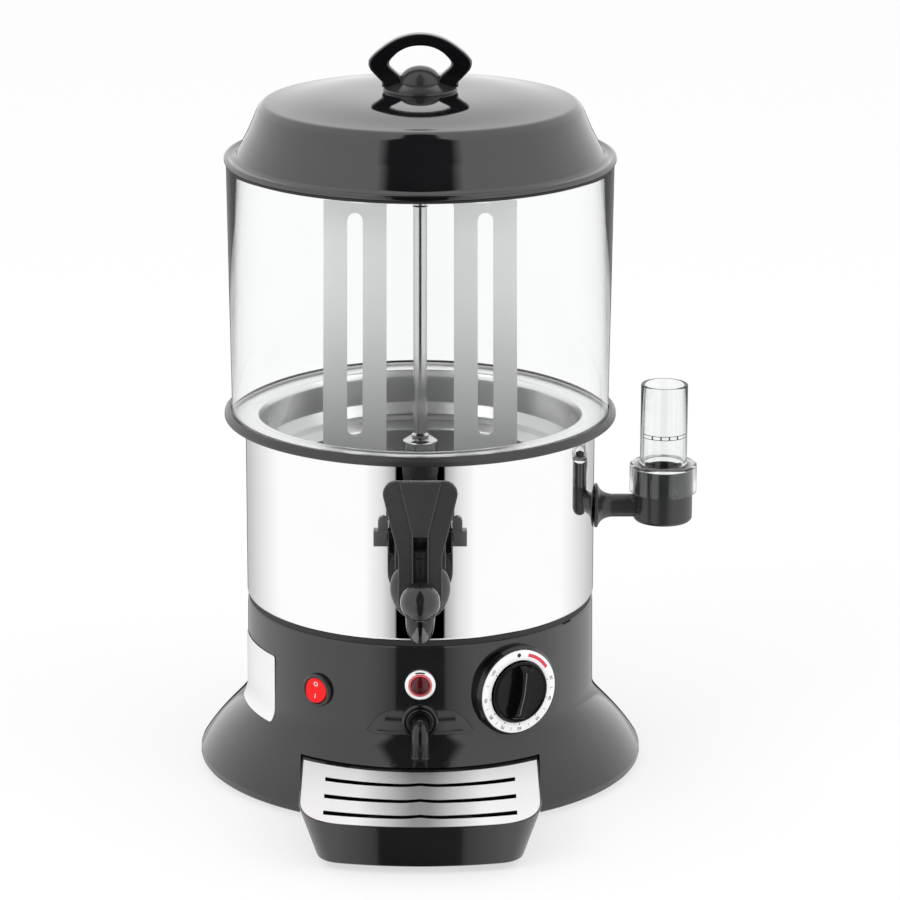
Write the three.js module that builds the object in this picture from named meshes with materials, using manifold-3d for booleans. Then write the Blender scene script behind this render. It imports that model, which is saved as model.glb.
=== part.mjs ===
// Countertop hot chocolate dispenser: a clear bowl with a driven stirrer over a water-jacketed pan,
// on a polished steel body and a flared black base, with a sprung tap, a drip tray and a water gauge.
// Millimetres, +Z up along the machine's axis. The front faces -Y and z is zero at the skirt's lower edge.
import * as THREE from "three";
import { mergeVertices } from "three/addons/utils/BufferGeometryUtils.js";
import Module from "manifold-3d";

const wasm = await Module();
wasm.setup();

// Shared clearances and the overrun of every cutting tool
const seatGap = 0.3;
const looseGap = 0.6;
const overrun = 2;

// Base shell and base plate
const baseRadius = 125.3;
const baseDraft = 0.6;
const baseTopRadius = baseRadius - baseDraft;
const skirtSpread = 34.7;
const skirtRadius = baseRadius + skirtSpread;
const skirtEdge = 5;
const baseHeight = 118.8;
const baseWall = 3;
const flareTopShare = 0.4714;
const flareTop = baseHeight * flareTopShare;
const flareUpperPullShare = 0.647;
const flareReachShare = 0.539;
const flareLowerPullShare = 0.51;
const seatRingWidth = 12.7;
const seatRingInner = baseTopRadius - seatRingWidth;
const basePlateThickness = 1.5;
const ventCount = 8;
const ventRingRadius = 78;
const ventLength = 38;
const ventWidth = 5;
const footRadius = 11;
const footTaper = 1.5;
const footHeight = 4;
const footSetback = 42;
const footRingRadius = skirtRadius - footSetback;

// Steel body, which is the outer wall of the water jacket
const tankInset = 0.3;
const tankRadius = baseRadius - tankInset;
const tankWall = 1.2;
const seamHeight = 4.2;
const tankHeight = 130;
const tankBottom = baseHeight + seamHeight;
const tankTop = tankBottom + tankHeight;
const tankCorner = 1.6;
const tankRimWidth = 5.5;
const tankRimInner = tankRadius - tankRimWidth;
const seamRecess = 0.8;

// Trim ring
const trimOverhang = 15;
const trimRadius = tankRadius + trimOverhang;
const trimEdge = 3.5;
const trimChamfer = 1;
const trimHeight = 6.4;
const trimShelf = 3;
const trimTopWidth = 0.5;

// Pan
const panWall = 1.2;
const panFloorRise = 37;
const panStepDrop = 27;
const panMouthRise = 1;
const panFloor = tankBottom + panFloorRise;
const panFlangeInset = 5.2;
const panFlangeWidth = 18;
const panLipWidth = 3.3;
const panMouthFlare = 2.5;
const panNeckFlare = 2;
const panStepWidth = 9;
const panFloorCorner = 4.5;
const panFlangeRadius = trimRadius - panFlangeInset;
const panLipRadius = panFlangeRadius - panFlangeWidth;
const panMouthRadius = panLipRadius - panLipWidth;
const panMouthHeight = tankTop + panMouthRise;
const panNeckRadius = panMouthRadius - panMouthFlare;
const panStepRadius = panNeckRadius - panNeckFlare;
const panStepHeight = tankTop - panStepDrop;
const panStepRise = 4;
const panLowerRadius = panStepRadius - panStepWidth;
const panFloorRadius = panLowerRadius - panFloorCorner;

// Bowl
const bowlInset = 5.4;
const bowlBottomRadius = trimRadius - bowlInset;
const bowlFlare = 2.2;
const bowlTopRadius = bowlBottomRadius + bowlFlare;
const bowlWall = 3;
const bowlHeight = 177.8;
const bowlGasketThickness = 1.5;
const bowlGasketWidth = 4;
const bowlFoot = tankTop + trimShelf + panWall + bowlGasketThickness;
const bowlTop = bowlFoot + bowlHeight;

// Lid and its knob
const lidSealThickness = 2.2;
const lidFoot = bowlTop + lidSealThickness;
const lidSealWidth = 5.8;
const lidSealInner = bowlTopRadius - lidSealWidth;
const lidOverhang = 1.2;
const lidRimRadius = bowlTopRadius + lidOverhang;
const lidRimHeight = 3.6;
const lidRimRound = 1.2;
const lidGutterInset = 6.5;
const lidGutterRadius = lidRimRadius - lidGutterInset;
const lidGutterDrop = 1;
const lidWall = 2;
const lidRimWidth = 9.2;
const lidSideFootRadius = lidRimRadius - lidRimWidth;
const lidSideFootRise = 6;
const lidSideFoot = lidFoot + lidSideFootRise;
const lidLowerSlope = 7.6;
const lidSideMiddleRadius = lidSideFootRadius - lidLowerSlope;
const lidSideMiddleRise = 21.1;
const lidSideMiddle = lidFoot + lidSideMiddleRise;
const lidUpperSlope = 6.6;
const lidShoulderRadius = lidSideMiddleRadius - lidUpperSlope;
const lidShoulderRise = 36.5;
const lidShoulder = lidFoot + lidShoulderRise;
const lidShoulderWidth = 5.6;
const lidTopRadius = lidShoulderRadius - lidShoulderWidth;
const lidTopEdgeRise = 41.7;
const lidTopEdge = lidFoot + lidTopEdgeRise;
const lidCrownRise = 48.3;
const lidCrown = lidFoot + lidCrownRise;
const knobNeckRadius = 14;
const knobNeckHeight = 2;
const knobHubRadius = 26;
const knobHubHeight = 3.4;
const knobDomeRadius = 14.6;
const knobConeHeight = 5;
const knobDomeHeight = 16.3;
const loopHeight = 39.4;
const loopHalfWidth = 36.2;
const loopThickness = 9;
const loopOuterShares = [
  [0, 1], [0.2, 0.987], [0.45, 0.925], [0.67, 0.812], [0.86, 0.683],
  [0.96, 0.569], [1, 0.485], [0.945, 0.373], [0.81, 0.25], [0.62, 0.06],
];
const loopInnerShares = [
  [0, 0.827], [0.284, 0.771], [0.488, 0.657], [0.61, 0.56], [0.7, 0.46],
  [0.655, 0.35], [0.454, 0.204], [0.25, 0.12],
];
const lidScrewRadius = 2;
const lidScrewHead = 5;
const lidScrewHeadHeight = 2.2;
const lidScrewDepth = 9;

// Standpipe, shaft seal and drive
const hubRise = 46;
const hubHeight = 34;
const hubCeilingDrop = 12;
const hubBottom = panFloor + hubRise;
const hubTop = hubBottom + hubHeight;
const hubCeiling = hubTop - hubCeilingDrop;
const standpipeRadius = 8;
const standpipeBore = 6.5;
const standpipeDrop = 6;
const standpipeTop = hubCeiling - standpipeDrop;
const standpipeFlange = 14;
const standpipeFlangeHeight = 1.5;
const standpipeShoulder = 11;
const standpipeShoulderHeight = 2;
const sealLip = 2;
const sealSleeve = 8;
const driveShaftRadius = 4.5;
const bracketRadius = 46;
const bracketPlate = 2;
const bracketDrop = 27;
const bracketPostRadius = 4;
const bracketPostRing = 38;
const bracketPosts = 4;
const gearboxRadius = 33;
const gearboxHeight = 28;
const gearboxSocket = 8;
const motorRadius = 27;
const motorHeight = 44;
const motorStep = 3;

// Stirrer
const hubRadius = 12.4;
const hubChamfer = 3;
const hubCavityRadius = 8.6;
const hubSocketDepth = 8;
const stirrerShaftRadius = 5;
const stirrerArmHeight = 8;
const stirrerArmThickness = 3;
const paddleInner = 24;
const paddleOuter = 69;
const paddleThickness = 2;
const paddleRise = 18;
const paddleBottom = panFloor + paddleRise;
const paddleCorner = 6;
const paddleSlotWidth = 11;
const paddleSlotRise = 63;
const paddleSlotBottom = paddleBottom + paddleSlotRise;
const crossbarDrop = 27.5;
const crossbarBottom = bowlTop - crossbarDrop;
const crossbarHeight = 8;
const crossbarHubRadius = 8;
const paddleSlotDrop = 13;
const paddleSlotTop = crossbarBottom - paddleSlotDrop;
const collarRadius = 7.4;
const collarHeight = 8;
const collarBottom = crossbarBottom - collarHeight;
const capHeight = 11;

// Water jacket fittings
const elementRingRadius = 75;
const elementRadius = 4;
const elementRise = 21;
const elementHeight = tankBottom + elementRise;
const elementLegReach = 8;
const elementTail = 7;
const elementEnd = tankBottom - elementTail;
const elementSteps = 16;
const elementSides = 6;
const cutoutRadius = 9;
const cutoutHeight = 9;
const cutoutReach = 62;
const terminalLength = 60;
const terminalWidth = 18;
const terminalHeight = 14;
const terminalReach = 72;
const terminalGrooves = 4;
const terminalGrooveWidth = 2;
const terminalGrooveDepth = 5;

// Tap
const tapRise = 16;
const tapHeight = panFloor + tapRise;
const tapStandOff = 35;
const tapReach = tankRadius + tapStandOff;
const shankRadius = 9;
const shankBore = 5.5;
const shankOverreach = 11;
const shankInnerEnd = panLowerRadius - shankOverreach;
const tapNutSetback = 8;
const tapNutBack = panLowerRadius - tapNutSetback;
const tapFlangeRadius = 22.6;
const tapFlangeThickness = 4;
const tapGasketThickness = 4;
const tapGasketFront = tankRadius + tapGasketThickness;
const tapNutRadius = 13;
const tapNutThickness = 6;
const barrelRadius = 13;
const barrelBore = 9;
const barrelRise = 22;
const barrelTop = tapHeight + barrelRise;
const barrelNeckRise = 12;
const barrelNeckBottom = tapHeight + barrelNeckRise;
const bulgeRadius = 20.3;
const bulgeDrop = 4;
const bulgeHeight = tapHeight - bulgeDrop;
const bulgeBottomDrop = 20;
const bulgeBottom = tapHeight - bulgeBottomDrop;
const bulgeDepthShare = 0.62;
const bulgeUpperShares = [[0.83, 0.62], [0.96, 0.3]];
const bulgeLowerShares = [[0.93, 0.45], [0.74, 0.85]];
const nozzleTopRadius = 9.8;
const nozzleTopDrop = 24;
const nozzleTop = tapHeight - nozzleTopDrop;
const nozzleBottomRadius = 5.1;
const nozzleBottomDrop = 42.5;
const nozzleBottom = tapHeight - nozzleBottomDrop;
const nozzleBore = 3.4;
const nozzleRibThickness = 2.4;
const nozzleFluteDepth = 1.4;
const seatRadius = 6;
const seatDrop = 18;
const seatHeight = tapHeight - seatDrop;
const boreFloorDrop = 14;
const boreFloor = tapHeight - boreFloorDrop;
const earInner = 17.5;
const earThickness = 4.5;
const pivotSetback = 12;
const pivotReach = tapReach - pivotSetback;
const pivotRise = 8;
const pivotHeight = barrelTop + pivotRise;
const pivotRadius = 3;
const earRound = 6.5;
const earDrop = 10;
const earFoot = pivotHeight - earDrop;
const leverStandOff = 19;
const leverFace = tapReach + leverStandOff;
const leverThickness = 5;
const leverRise = 48.2;
const leverTop = pivotHeight + leverRise;
const leverTopHalfWidth = 26.2;
const leverTopCorner = 8;
const leverWaistDrop = 5;
const leverWaistHeight = pivotHeight - leverWaistDrop;
const leverWaistHalfWidth = 15;
const leverDrop = 11;
const leverBottom = tapHeight - leverDrop;
const leverWedgeThickness = 1.2;
const leverWedgeTopHalfWidth = 14.5;
const leverWedgeFootHalfWidth = 5.8;
const leverWedgeRise = 11;
const leverWedgeFoot = pivotHeight + leverWedgeRise;
const leverSlotHalfWidth = 4.7;
const leverSlotFootRise = 6;
const leverSlotBottom = tapHeight + leverSlotFootRise;
const leverSlotRise = 9.4;
const leverSlotTop = pivotHeight + leverSlotRise;
const leverArmInner = 14.6;
const leverArmThickness = 2.6;
const leverArmRise = 12;
const leverArmTop = pivotHeight + leverArmRise;
const leverArmDrop = 15;
const leverArmBottom = pivotHeight - leverArmDrop;
const liftPinRadius = 2;
const liftPinDrop = 0.5;
const liftPinHeight = pivotHeight - liftPinDrop;
const liftPinReach = 4.8;
const ballRadius = 13.6;
const ballRise = 5.8;
const ballHeight = leverBottom + ballRise;
const ballStandOff = 9;
const wingInner = 22.4;
const wingOuter = 32;
const wingDepth = 10;
const wingHeight = 10.6;
const wingTabWidth = 6.5;
const wingTabRise = 15;
const wingTabTop = pivotHeight + wingTabRise;
const plungerStemRadius = 4;
const plungerHeadRadius = 7;
const plungerHeadHeight = 3.2;
const pistonRadius = 8.6;
const pistonDrop = 12;
const pistonBottom = tapHeight - pistonDrop;
const pistonHeight = 7;
const pistonTop = pistonBottom + pistonHeight;
const pistonTipRadius = 5;
const pistonTipHeight = 4.4;
const pistonTip = pistonBottom - pistonTipHeight;
const capPlugHeight = 9;
const capFlangeHeight = 4.6;
const springWire = 2;

// Water filler and gauge, at the right-hand side
const skirtTubeRadius = 24.1;
const gaugeClearance = 10.7;
const gaugeReach = trimRadius + gaugeClearance + skirtTubeRadius;
const gaugeArmRise = 61.5;
const gaugeArmHeight = tankBottom + gaugeArmRise;
const gaugeFlangeRadius = 16;
const gaugeFlangeThickness = 2.2;
const gaugeFlangeFront = tankRadius + gaugeFlangeThickness;
const gaugeArmRadius = 8.3;
const gaugeFlareLength = 9.8;
const gaugeArmStart = gaugeFlangeFront + gaugeFlareLength;
const gaugeArmBore = 5;
const gaugeFlarePullShare = 0.6;
const gaugeShankRadius = 7;
const gaugeShankLength = 11;
const gaugeShankEnd = tankRadius - gaugeShankLength;
const gaugeNutRadius = 12;
const gaugeNutThickness = 6;
const cupRadius = 21.2;
const cupWall = 2.7;
const cupDrop = 10.5;
const cupBottom = gaugeArmHeight - cupDrop;
const cupFloorThickness = 4;
const cupFloor = cupBottom + cupFloorThickness;
const cupHeight = 39.4;
const cupTop = cupBottom + cupHeight;
const cupFootChamfer = 2;
const skirtTubeCover = 17.9;
const skirtTubeBottom = cupTop - skirtTubeCover;
const shoulderHeight = 3.2;
const shoulderTop = cupTop + shoulderHeight;
const shoulderBevel = 1.6;
const tubeRadius = 16.8;
const tubeWall = 2.5;
const tubeLength = 58.4;
const tubeTop = shoulderTop + tubeLength;

// Controls on the base
const dialAzimuth = THREE.MathUtils.degToRad(31.7);
const dialHeightShare = 0.686;
const dialHeight = baseHeight * dialHeightShare;
const dialBezelRadius = 33.4;
const dialBezelThickness = 2.5;
const dialBezelFront = baseRadius + dialBezelThickness;
const dialStepRadius = 31;
const dialStepThickness = 2.8;
const dialStepFront = dialBezelFront + dialStepThickness;
const dialHoleRadius = 7.5;
const scaleOuter = 30.2;
const scaleInner = 22.9;
const scaleThickness = 1;
const knobSkirtRadius = 22.4;
const knobStandOff = 1.8;
const knobBack = dialStepFront + knobStandOff;
const knobSkirtHeight = 3;
const knobBodyRadius = 20.2;
const knobBodyHeight = 10;
const knobCrownRadius = 17.5;
const knobGripHalfWidth = 5.6;
const knobGripWaistShare = 0.62;
const knobGripHeight = 20;
const spindleRadius = 3;
const spindleDepth = 9;
const thermostatWidth = 34;
const thermostatSetback = 7.8;
const thermostatDepth = 23.5;
const thermostatFront = baseRadius - thermostatSetback;
const thermostatBack = thermostatFront - thermostatDepth;
const thermostatNeckRadius = 6.8;
const rockerAzimuth = THREE.MathUtils.degToRad(-35.6);
const rockerHeightShare = 0.6734;
const rockerHeight = baseHeight * rockerHeightShare;
const rockerBezelRadius = 11.9;
const rockerBezelThickness = 2.7;
const rockerBodyRadius = 9.9;
const rockerRecess = 9.5;
const rockerBodyDepth = 27.3;
const rockerBodyBack = baseRadius - rockerBodyDepth;
const rockerRecessDepth = 8.3;
const rockerRecessFloor = baseRadius - rockerRecessDepth;
const rockerRadius = 8.8;
const rockerBackHalf = 6.5;
const rockerBackDepth = 5.8;
const rockerBack = baseRadius - rockerBackDepth;
const rockerWaistDepth = 1.3;
const rockerWaist = baseRadius - rockerWaistDepth;
const rockerProud = 3.9;
const rockerFront = baseRadius + rockerProud;
const rockerDip = 1.6;
const rockerPivotProud = 0.2;
const rockerPivot = baseRadius + rockerPivotProud;
const rockerTilt = THREE.MathUtils.degToRad(7);
const lampHeightShare = 0.7685;
const lampHeight = baseHeight * lampHeightShare;
const lampBezelRadius = 10.7;
const lampBezelThickness = 2.8;
const lampBodyRadius = 6.9;
const lampBodyDepth = 19.3;
const lampBodyBack = baseRadius - lampBodyDepth;
const lensRadius = 7.9;
const lensSeat = 1;
const lensDome = 4.4;
const drainHeightShare = 0.5438;
const drainHeight = baseHeight * drainHeightShare;
const drainShankRadius = 7;
const drainShankDepth = 19.3;
const drainShankBack = baseRadius - drainShankDepth;
const rosetteRadius = 13;
const rosetteThickness = 4.6;
const rosetteBevel = 1.6;
const drainSocketDepth = 3;
const spoutRadius = 6;
const spoutBore = 4;
const spoutBend = 10;
const spoutStraight = 6;
const spoutDrop = 10.5;
const drainPipeSetback = 43.3;
const drainPipeReach = baseRadius - drainPipeSetback;
const glandHeightShare = 0.606;
const glandHeight = baseHeight * glandHeightShare;
const glandRadius = 11;
const glandShankRadius = 7.5;
const glandBore = 4;
const glandLength = 17;
const panelGap = 0.3;

// Drip tray
const trayHalfWidth = 83.4;
const trayFootHalfWidth = 70.5;
const trayProud = 1.7;
const trayRear = baseRadius + trayProud;
const trayLength = 122;
const trayFront = trayRear + trayLength;
const trayFootSetback = 6;
const trayFootFront = trayFront - trayFootSetback;
const trayCorner = 36;
const trayCornerReach = 27;
const trayFootCorner = 17;
const trayFootCornerReach = 15;
const trayTop = 32.5;
const trayWall = 2.2;
const trayFloor = 2.4;
const grilleRecess = 1.5;
const trayRim = 1;
const trayLedge = 2.5;
const grilleSetback = 15.3;
const grilleRear = trayRear + grilleSetback;
const grilleThickness = 1.3;
const grilleSlotOffsets = [25.7, 56.7, 86.7];
const grilleSlotHalfLength = 66;
const grilleSlotWidth = 6;
const grilleSlotCusp = 2.6;
const grilleSlotCuspReach = 14;
const bayGap = 0.9;
const bayRearGap = 2.5;
const bayWall = 2.5;

// Numbers of flat sides on round forms
const bodySides = 32;
const panelSides = 20;
const fittingSides = 14;
const smallSides = 10;
const arcSides = 6;
const cornerSides = 3;
const nutSides = 6;
const ballRows = 8;

// Finishes
const gloss = (color) => new THREE.MeshStandardMaterial({ color, roughness: 0.22, metalness: 0 });
const satin = (color) => new THREE.MeshStandardMaterial({ color, roughness: 0.5, metalness: 0 });
const metal = (color, roughness) => new THREE.MeshStandardMaterial({ color, roughness, metalness: 1 });
const clear = (opacity) =>
  new THREE.MeshStandardMaterial({ color: 0xf4f8f8, roughness: 0.05, metalness: 0, transparent: true, opacity });
const baseBlack = gloss(0x1d1e20);
const lidBlack = gloss(0x242527);
const fittingBlack = gloss(0x18191b);
const sealBlack = satin(0x101112);
const mirrorSteel = metal(0xe6e7e8, 0.06);
const brushedSteel = metal(0xc3c5c6, 0.3);
const motorGrey = metal(0x6f7376, 0.5);
const brass = metal(0xb99a55, 0.35);
const labelWhite = satin(0xf2f2ef);
const signalRed = gloss(0xd21f28);
const lensRed = gloss(0x8f1420);

// A solid for joining and cutting, from a closed geometry
function solidOf(geometry) {
  const bare = geometry.index ? geometry.toNonIndexed() : geometry.clone();
  bare.deleteAttribute("normal");
  bare.deleteAttribute("uv");
  const merged = mergeVertices(bare);
  const corners = Array.from(merged.index.array);
  const kept = [];
  for (let i = 0; i < corners.length; i += 3) {
    const [a, b, c] = corners.slice(i, i + 3);
    if (a !== b && b !== c && c !== a) kept.push(a, b, c);
  }
  const vertProperties = merged.getAttribute("position").array;
  return new wasm.Manifold(new wasm.Mesh({ numProp: 3, vertProperties, triVerts: new Uint32Array(kept) }));
}

// The geometry of a solid, with flat facets
function geometryOf(solid) {
  const { vertProperties, triVerts, numProp } = solid.getMesh();
  const positions = [];
  triVerts.forEach((corner) => positions.push(...vertProperties.subarray(corner * numProp, corner * numProp + 3)));
  const geometry = new THREE.BufferGeometry();
  geometry.setAttribute("position", new THREE.Float32BufferAttribute(positions, 3));
  geometry.computeVertexNormals();
  return geometry;
}

const join = (first, ...rest) => geometryOf(rest.reduce((sum, next) => sum.add(solidOf(next)), solidOf(first)));
const cut = (first, ...rest) => geometryOf(rest.reduce((left, next) => left.subtract(solidOf(next)), solidOf(first)));
const common = (first, second) => geometryOf(solidOf(first).intersect(solidOf(second)));

const at = (radius, height) => new THREE.Vector2(radius, height);

// A profile turned about the vertical axis. It starts and ends on the axis, or closes on itself.
function turned(profile, sides) {
  const loop = THREE.ShapeUtils.area(profile) > 0 ? [...profile] : [...profile].reverse();
  if (loop[0].x !== 0 || loop.at(-1).x !== 0) loop.push(loop[0].clone());
  return new THREE.LatheGeometry(loop, sides).rotateX(Math.PI / 2);
}

// A profile of radius and forward distance, turned about the front-to-back axis
const turnedForward = (profile, sides) => turned(profile, sides).rotateX(Math.PI / 2);

// A round bar between two heights, or between two forward distances
const bar = (radius, low, high, sides) => turned([at(0, low), at(radius, low), at(radius, high), at(0, high)], sides);
const forwardBar = (radius, back, front, sides) => bar(radius, back, front, sides).rotateX(Math.PI / 2);
const acrossBar = (radius, halfLength, sides) => bar(radius, -halfLength, halfLength, sides).rotateY(Math.PI / 2);

// A washer or sleeve between two heights
const sleeve = (outer, inner, low, high, sides) =>
  turned([at(inner, low), at(outer, low), at(outer, high), at(inner, high)], sides);

// A flat outline in the plan, raised between two heights
const plan = (shape, low, high, curveSegments) =>
  new THREE.ExtrudeGeometry(shape, { depth: high - low, bevelEnabled: false, curveSegments }).translate(0, 0, low);

// An outline seen from the front, between two forward distances
const frontPlate = (shape, back, front, curveSegments) =>
  new THREE.ExtrudeGeometry(shape, { depth: front - back, bevelEnabled: false, curveSegments })
    .rotateX(Math.PI / 2)
    .translate(0, -back, 0);

// An outline of forward distance and height, between two places across the machine
function sidePlate(shape, low, high, curveSegments) {
  const geometry = new THREE.ExtrudeGeometry(shape, { depth: high - low, bevelEnabled: false, curveSegments });
  const turn = new THREE.Matrix4().makeBasis(
    new THREE.Vector3(0, -1, 0),
    new THREE.Vector3(0, 0, 1),
    new THREE.Vector3(-1, 0, 0),
  );
  return geometry.applyMatrix4(turn).translate(high, 0, 0);
}

// A block between two corners
function block(low, high) {
  const size = new THREE.Vector3().subVectors(high, low);
  const middle = new THREE.Vector3().addVectors(low, high).multiplyScalar(0.5);
  return new THREE.BoxGeometry(size.x, size.y, size.z).translate(middle.x, middle.y, middle.z);
}
const spot = (x, y, z) => new THREE.Vector3(x, y, z);

// A round tube swept along a curve
function swept(curve, radius, sides, steps) {
  const section = new THREE.Shape().absarc(0, 0, radius, 0, 2 * Math.PI, false);
  return new THREE.ExtrudeGeometry(section, { steps, curveSegments: sides / 2, extrudePath: curve });
}

// A solid between closed outlines of equal point counts, each at its own height
function lofted(lower, upper, low, high) {
  const positions = [];
  const put = (...points) => points.forEach(([p, z]) => positions.push(p.x, p.y, z));
  lower.forEach((point, i) => {
    const next = (i + 1) % lower.length;
    put([point, low], [lower[next], low], [upper[next], high]);
    put([point, low], [upper[next], high], [upper[i], high]);
  });
  THREE.ShapeUtils.triangulateShape(lower, []).forEach(([a, b, c]) => {
    put([lower[c], low], [lower[b], low], [lower[a], low]);
    put([upper[a], high], [upper[b], high], [upper[c], high]);
  });
  const geometry = new THREE.BufferGeometry();
  geometry.setAttribute("position", new THREE.Float32BufferAttribute(positions, 3));
  return geometry;
}

// Points moved sideways by a wall's thickness, to the left of their direction
function offsetPoints(points, distance) {
  return points.map((point, i) => {
    const before = points[Math.max(i - 1, 0)];
    const after = points[Math.min(i + 1, points.length - 1)];
    const along = new THREE.Vector2().subVectors(after, before).normalize();
    return at(point.x - along.y * distance, point.y + along.x * distance);
  });
}

function piece(name, geometry, material) {
  const mesh = new THREE.Mesh(geometry, material);
  mesh.name = name;
  return mesh;
}

// The flare of the skirt, from its edge up to the cylinder
function flarePoints(steps) {
  const reach = skirtRadius - baseRadius;
  const rise = flareTop - skirtEdge;
  return new THREE.CubicBezierCurve(
    at(skirtRadius, skirtEdge),
    at(baseRadius + reach * flareReachShare, skirtEdge + rise * flareLowerPullShare),
    at(baseRadius, skirtEdge + rise * flareUpperPullShare),
    at(baseRadius, flareTop),
  ).getPoints(steps);
}

// The space that the base fills, grown by a gap
function baseEnvelope(gap) {
  const outer = offsetPoints([...flarePoints(arcSides), at(baseTopRadius, baseHeight)], -gap);
  return turned([at(0, 0), at(skirtRadius + gap, 0), ...outer, at(0, baseHeight)], bodySides * 2);
}

// The plan of the tray bay: straight sides, an arc about the axis at the rear, open past the skirt
function bayPlan(halfWidth, rear, front) {
  const lean = Math.asin(halfWidth / rear);
  return new THREE.Shape()
    .moveTo(-halfWidth, -front)
    .lineTo(halfWidth, -front)
    .lineTo(halfWidth, -rear * Math.cos(lean))
    .absarc(0, 0, rear, lean - Math.PI / 2, -lean - Math.PI / 2, true);
}

// A hole through the base's wall at an azimuth from the front
const wallHole = (radius, azimuth, height) =>
  forwardBar(radius, seatRingInner, skirtRadius, fittingSides).rotateZ(azimuth).translate(0, 0, height);

function baseShell() {
  const outer = [...flarePoints(arcSides), at(baseTopRadius, baseHeight)];
  const inner = offsetPoints([...flarePoints(cornerSides), at(baseTopRadius, baseHeight)], baseWall);
  inner[0] = at(skirtRadius - baseWall, skirtEdge - baseWall / 2);
  inner[inner.length - 1] = at(baseTopRadius - baseWall, baseHeight - baseWall);
  const shell = turned(
    [
      at(skirtRadius - baseWall, 0),
      at(skirtRadius, 0),
      ...outer,
      at(seatRingInner, baseHeight),
      at(seatRingInner, baseHeight - baseWall),
      ...inner.reverse(),
    ],
    bodySides,
  );
  const solidBody = turned([at(0, 0), at(skirtRadius, 0), ...outer, at(0, baseHeight)], bodySides);
  const bayHalf = trayHalfWidth + bayGap;
  const bayRoof = trayTop + bayGap;
  const bayRear = trayRear - bayRearGap;
  const bayBox = plan(
    bayPlan(bayHalf + bayWall, bayRear - bayWall, skirtRadius),
    basePlateThickness,
    bayRoof + bayWall,
    arcSides,
  );
  const bayRoom = plan(bayPlan(bayHalf, bayRear, skirtRadius + overrun), -overrun, bayRoof, arcSides);
  return cut(
    join(shell, common(bayBox, solidBody)),
    bayRoom,
    wallHole(dialHoleRadius - panelGap, dialAzimuth, dialHeight),
    wallHole(rockerBodyRadius + panelGap, rockerAzimuth, rockerHeight),
    wallHole(lampBodyRadius + panelGap, 0, lampHeight),
    wallHole(drainShankRadius + panelGap, 0, drainHeight),
    wallHole(glandShankRadius + panelGap, Math.PI, glandHeight),
  );
}

function basePlate() {
  const plate = new THREE.Shape().absarc(0, 0, skirtRadius - baseWall - seatGap, 0, 2 * Math.PI, false);
  for (let i = 0; i < ventCount; i += 1) {
    const angle = (2 * Math.PI * (i + 1 / 2)) / ventCount;
    const half = ventLength / 2;
    const corners = [
      [-ventWidth / 2, -half],
      [ventWidth / 2, -half],
      [ventWidth / 2, half],
      [-ventWidth / 2, half],
    ];
    const slot = corners.map(([across, along]) =>
      at(ventRingRadius + across, along).rotateAround(at(0, 0), angle),
    );
    plate.holes.push(new THREE.Path(slot));
  }
  return plan(plate, 0, basePlateThickness, bodySides / 2);
}

const foot = () =>
  turned([at(0, -footHeight), at(footRadius - footTaper, -footHeight), at(footRadius, 0), at(0, 0)], fittingSides);

// Openings through the wall of the water tank or the pan for a horizontal shank
const shankHole = (radius, height, azimuth, back, front) =>
  forwardBar(radius, back, front, fittingSides).rotateZ(azimuth).translate(0, 0, height);

function waterTank() {
  const shell = turned(
    [
      at(standpipeRadius + seatGap, tankBottom),
      at(tankRadius - tankCorner, tankBottom),
      at(tankRadius, tankBottom + tankCorner),
      at(tankRadius, tankTop),
      at(tankRimInner, tankTop),
      at(tankRimInner, tankTop - tankWall),
      at(tankRadius - tankWall, tankTop - tankWall),
      at(tankRadius - tankWall, tankBottom + tankWall),
      at(standpipeRadius + seatGap, tankBottom + tankWall),
    ],
    bodySides,
  );
  const legHole = bar(elementRadius + seatGap, tankBottom - overrun, tankBottom + overrun, smallSides);
  const legPlace = Math.sqrt(elementRingRadius ** 2 - elementLegReach ** 2);
  return cut(
    shell,
    shankHole(shankRadius + seatGap, tapHeight, 0, tankRimInner, trimRadius),
    shankHole(gaugeShankRadius + seatGap, gaugeArmHeight, Math.PI / 2, tankRimInner, trimRadius),
    legHole.clone().translate(-elementLegReach, legPlace, 0),
    legHole.clone().translate(elementLegReach, legPlace, 0),
  );
}

const seamRing = () =>
  sleeve(baseTopRadius - seamRecess, seatRingInner, baseHeight, tankBottom, bodySides);

function standpipe() {
  const shoulderTopEdge = panFloor - panWall;
  return turned(
    [
      at(standpipeBore, tankBottom - standpipeFlangeHeight),
      at(standpipeFlange, tankBottom - standpipeFlangeHeight),
      at(standpipeFlange, tankBottom),
      at(standpipeRadius, tankBottom),
      at(standpipeRadius, shoulderTopEdge - standpipeShoulderHeight),
      at(standpipeShoulder, shoulderTopEdge - standpipeShoulderHeight),
      at(standpipeShoulder, shoulderTopEdge),
      at(standpipeRadius, shoulderTopEdge),
      at(standpipeRadius, standpipeTop),
      at(standpipeBore, standpipeTop),
    ],
    smallSides,
  );
}

const shaftSeal = () =>
  turned(
    [
      at(driveShaftRadius + seatGap, standpipeTop - sealSleeve),
      at(standpipeBore - seatGap, standpipeTop - sealSleeve),
      at(standpipeBore - seatGap, standpipeTop),
      at(standpipeRadius, standpipeTop),
      at(standpipeRadius, standpipeTop + sealLip),
      at(driveShaftRadius + seatGap, standpipeTop + sealLip),
    ],
    smallSides,
  );

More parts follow.
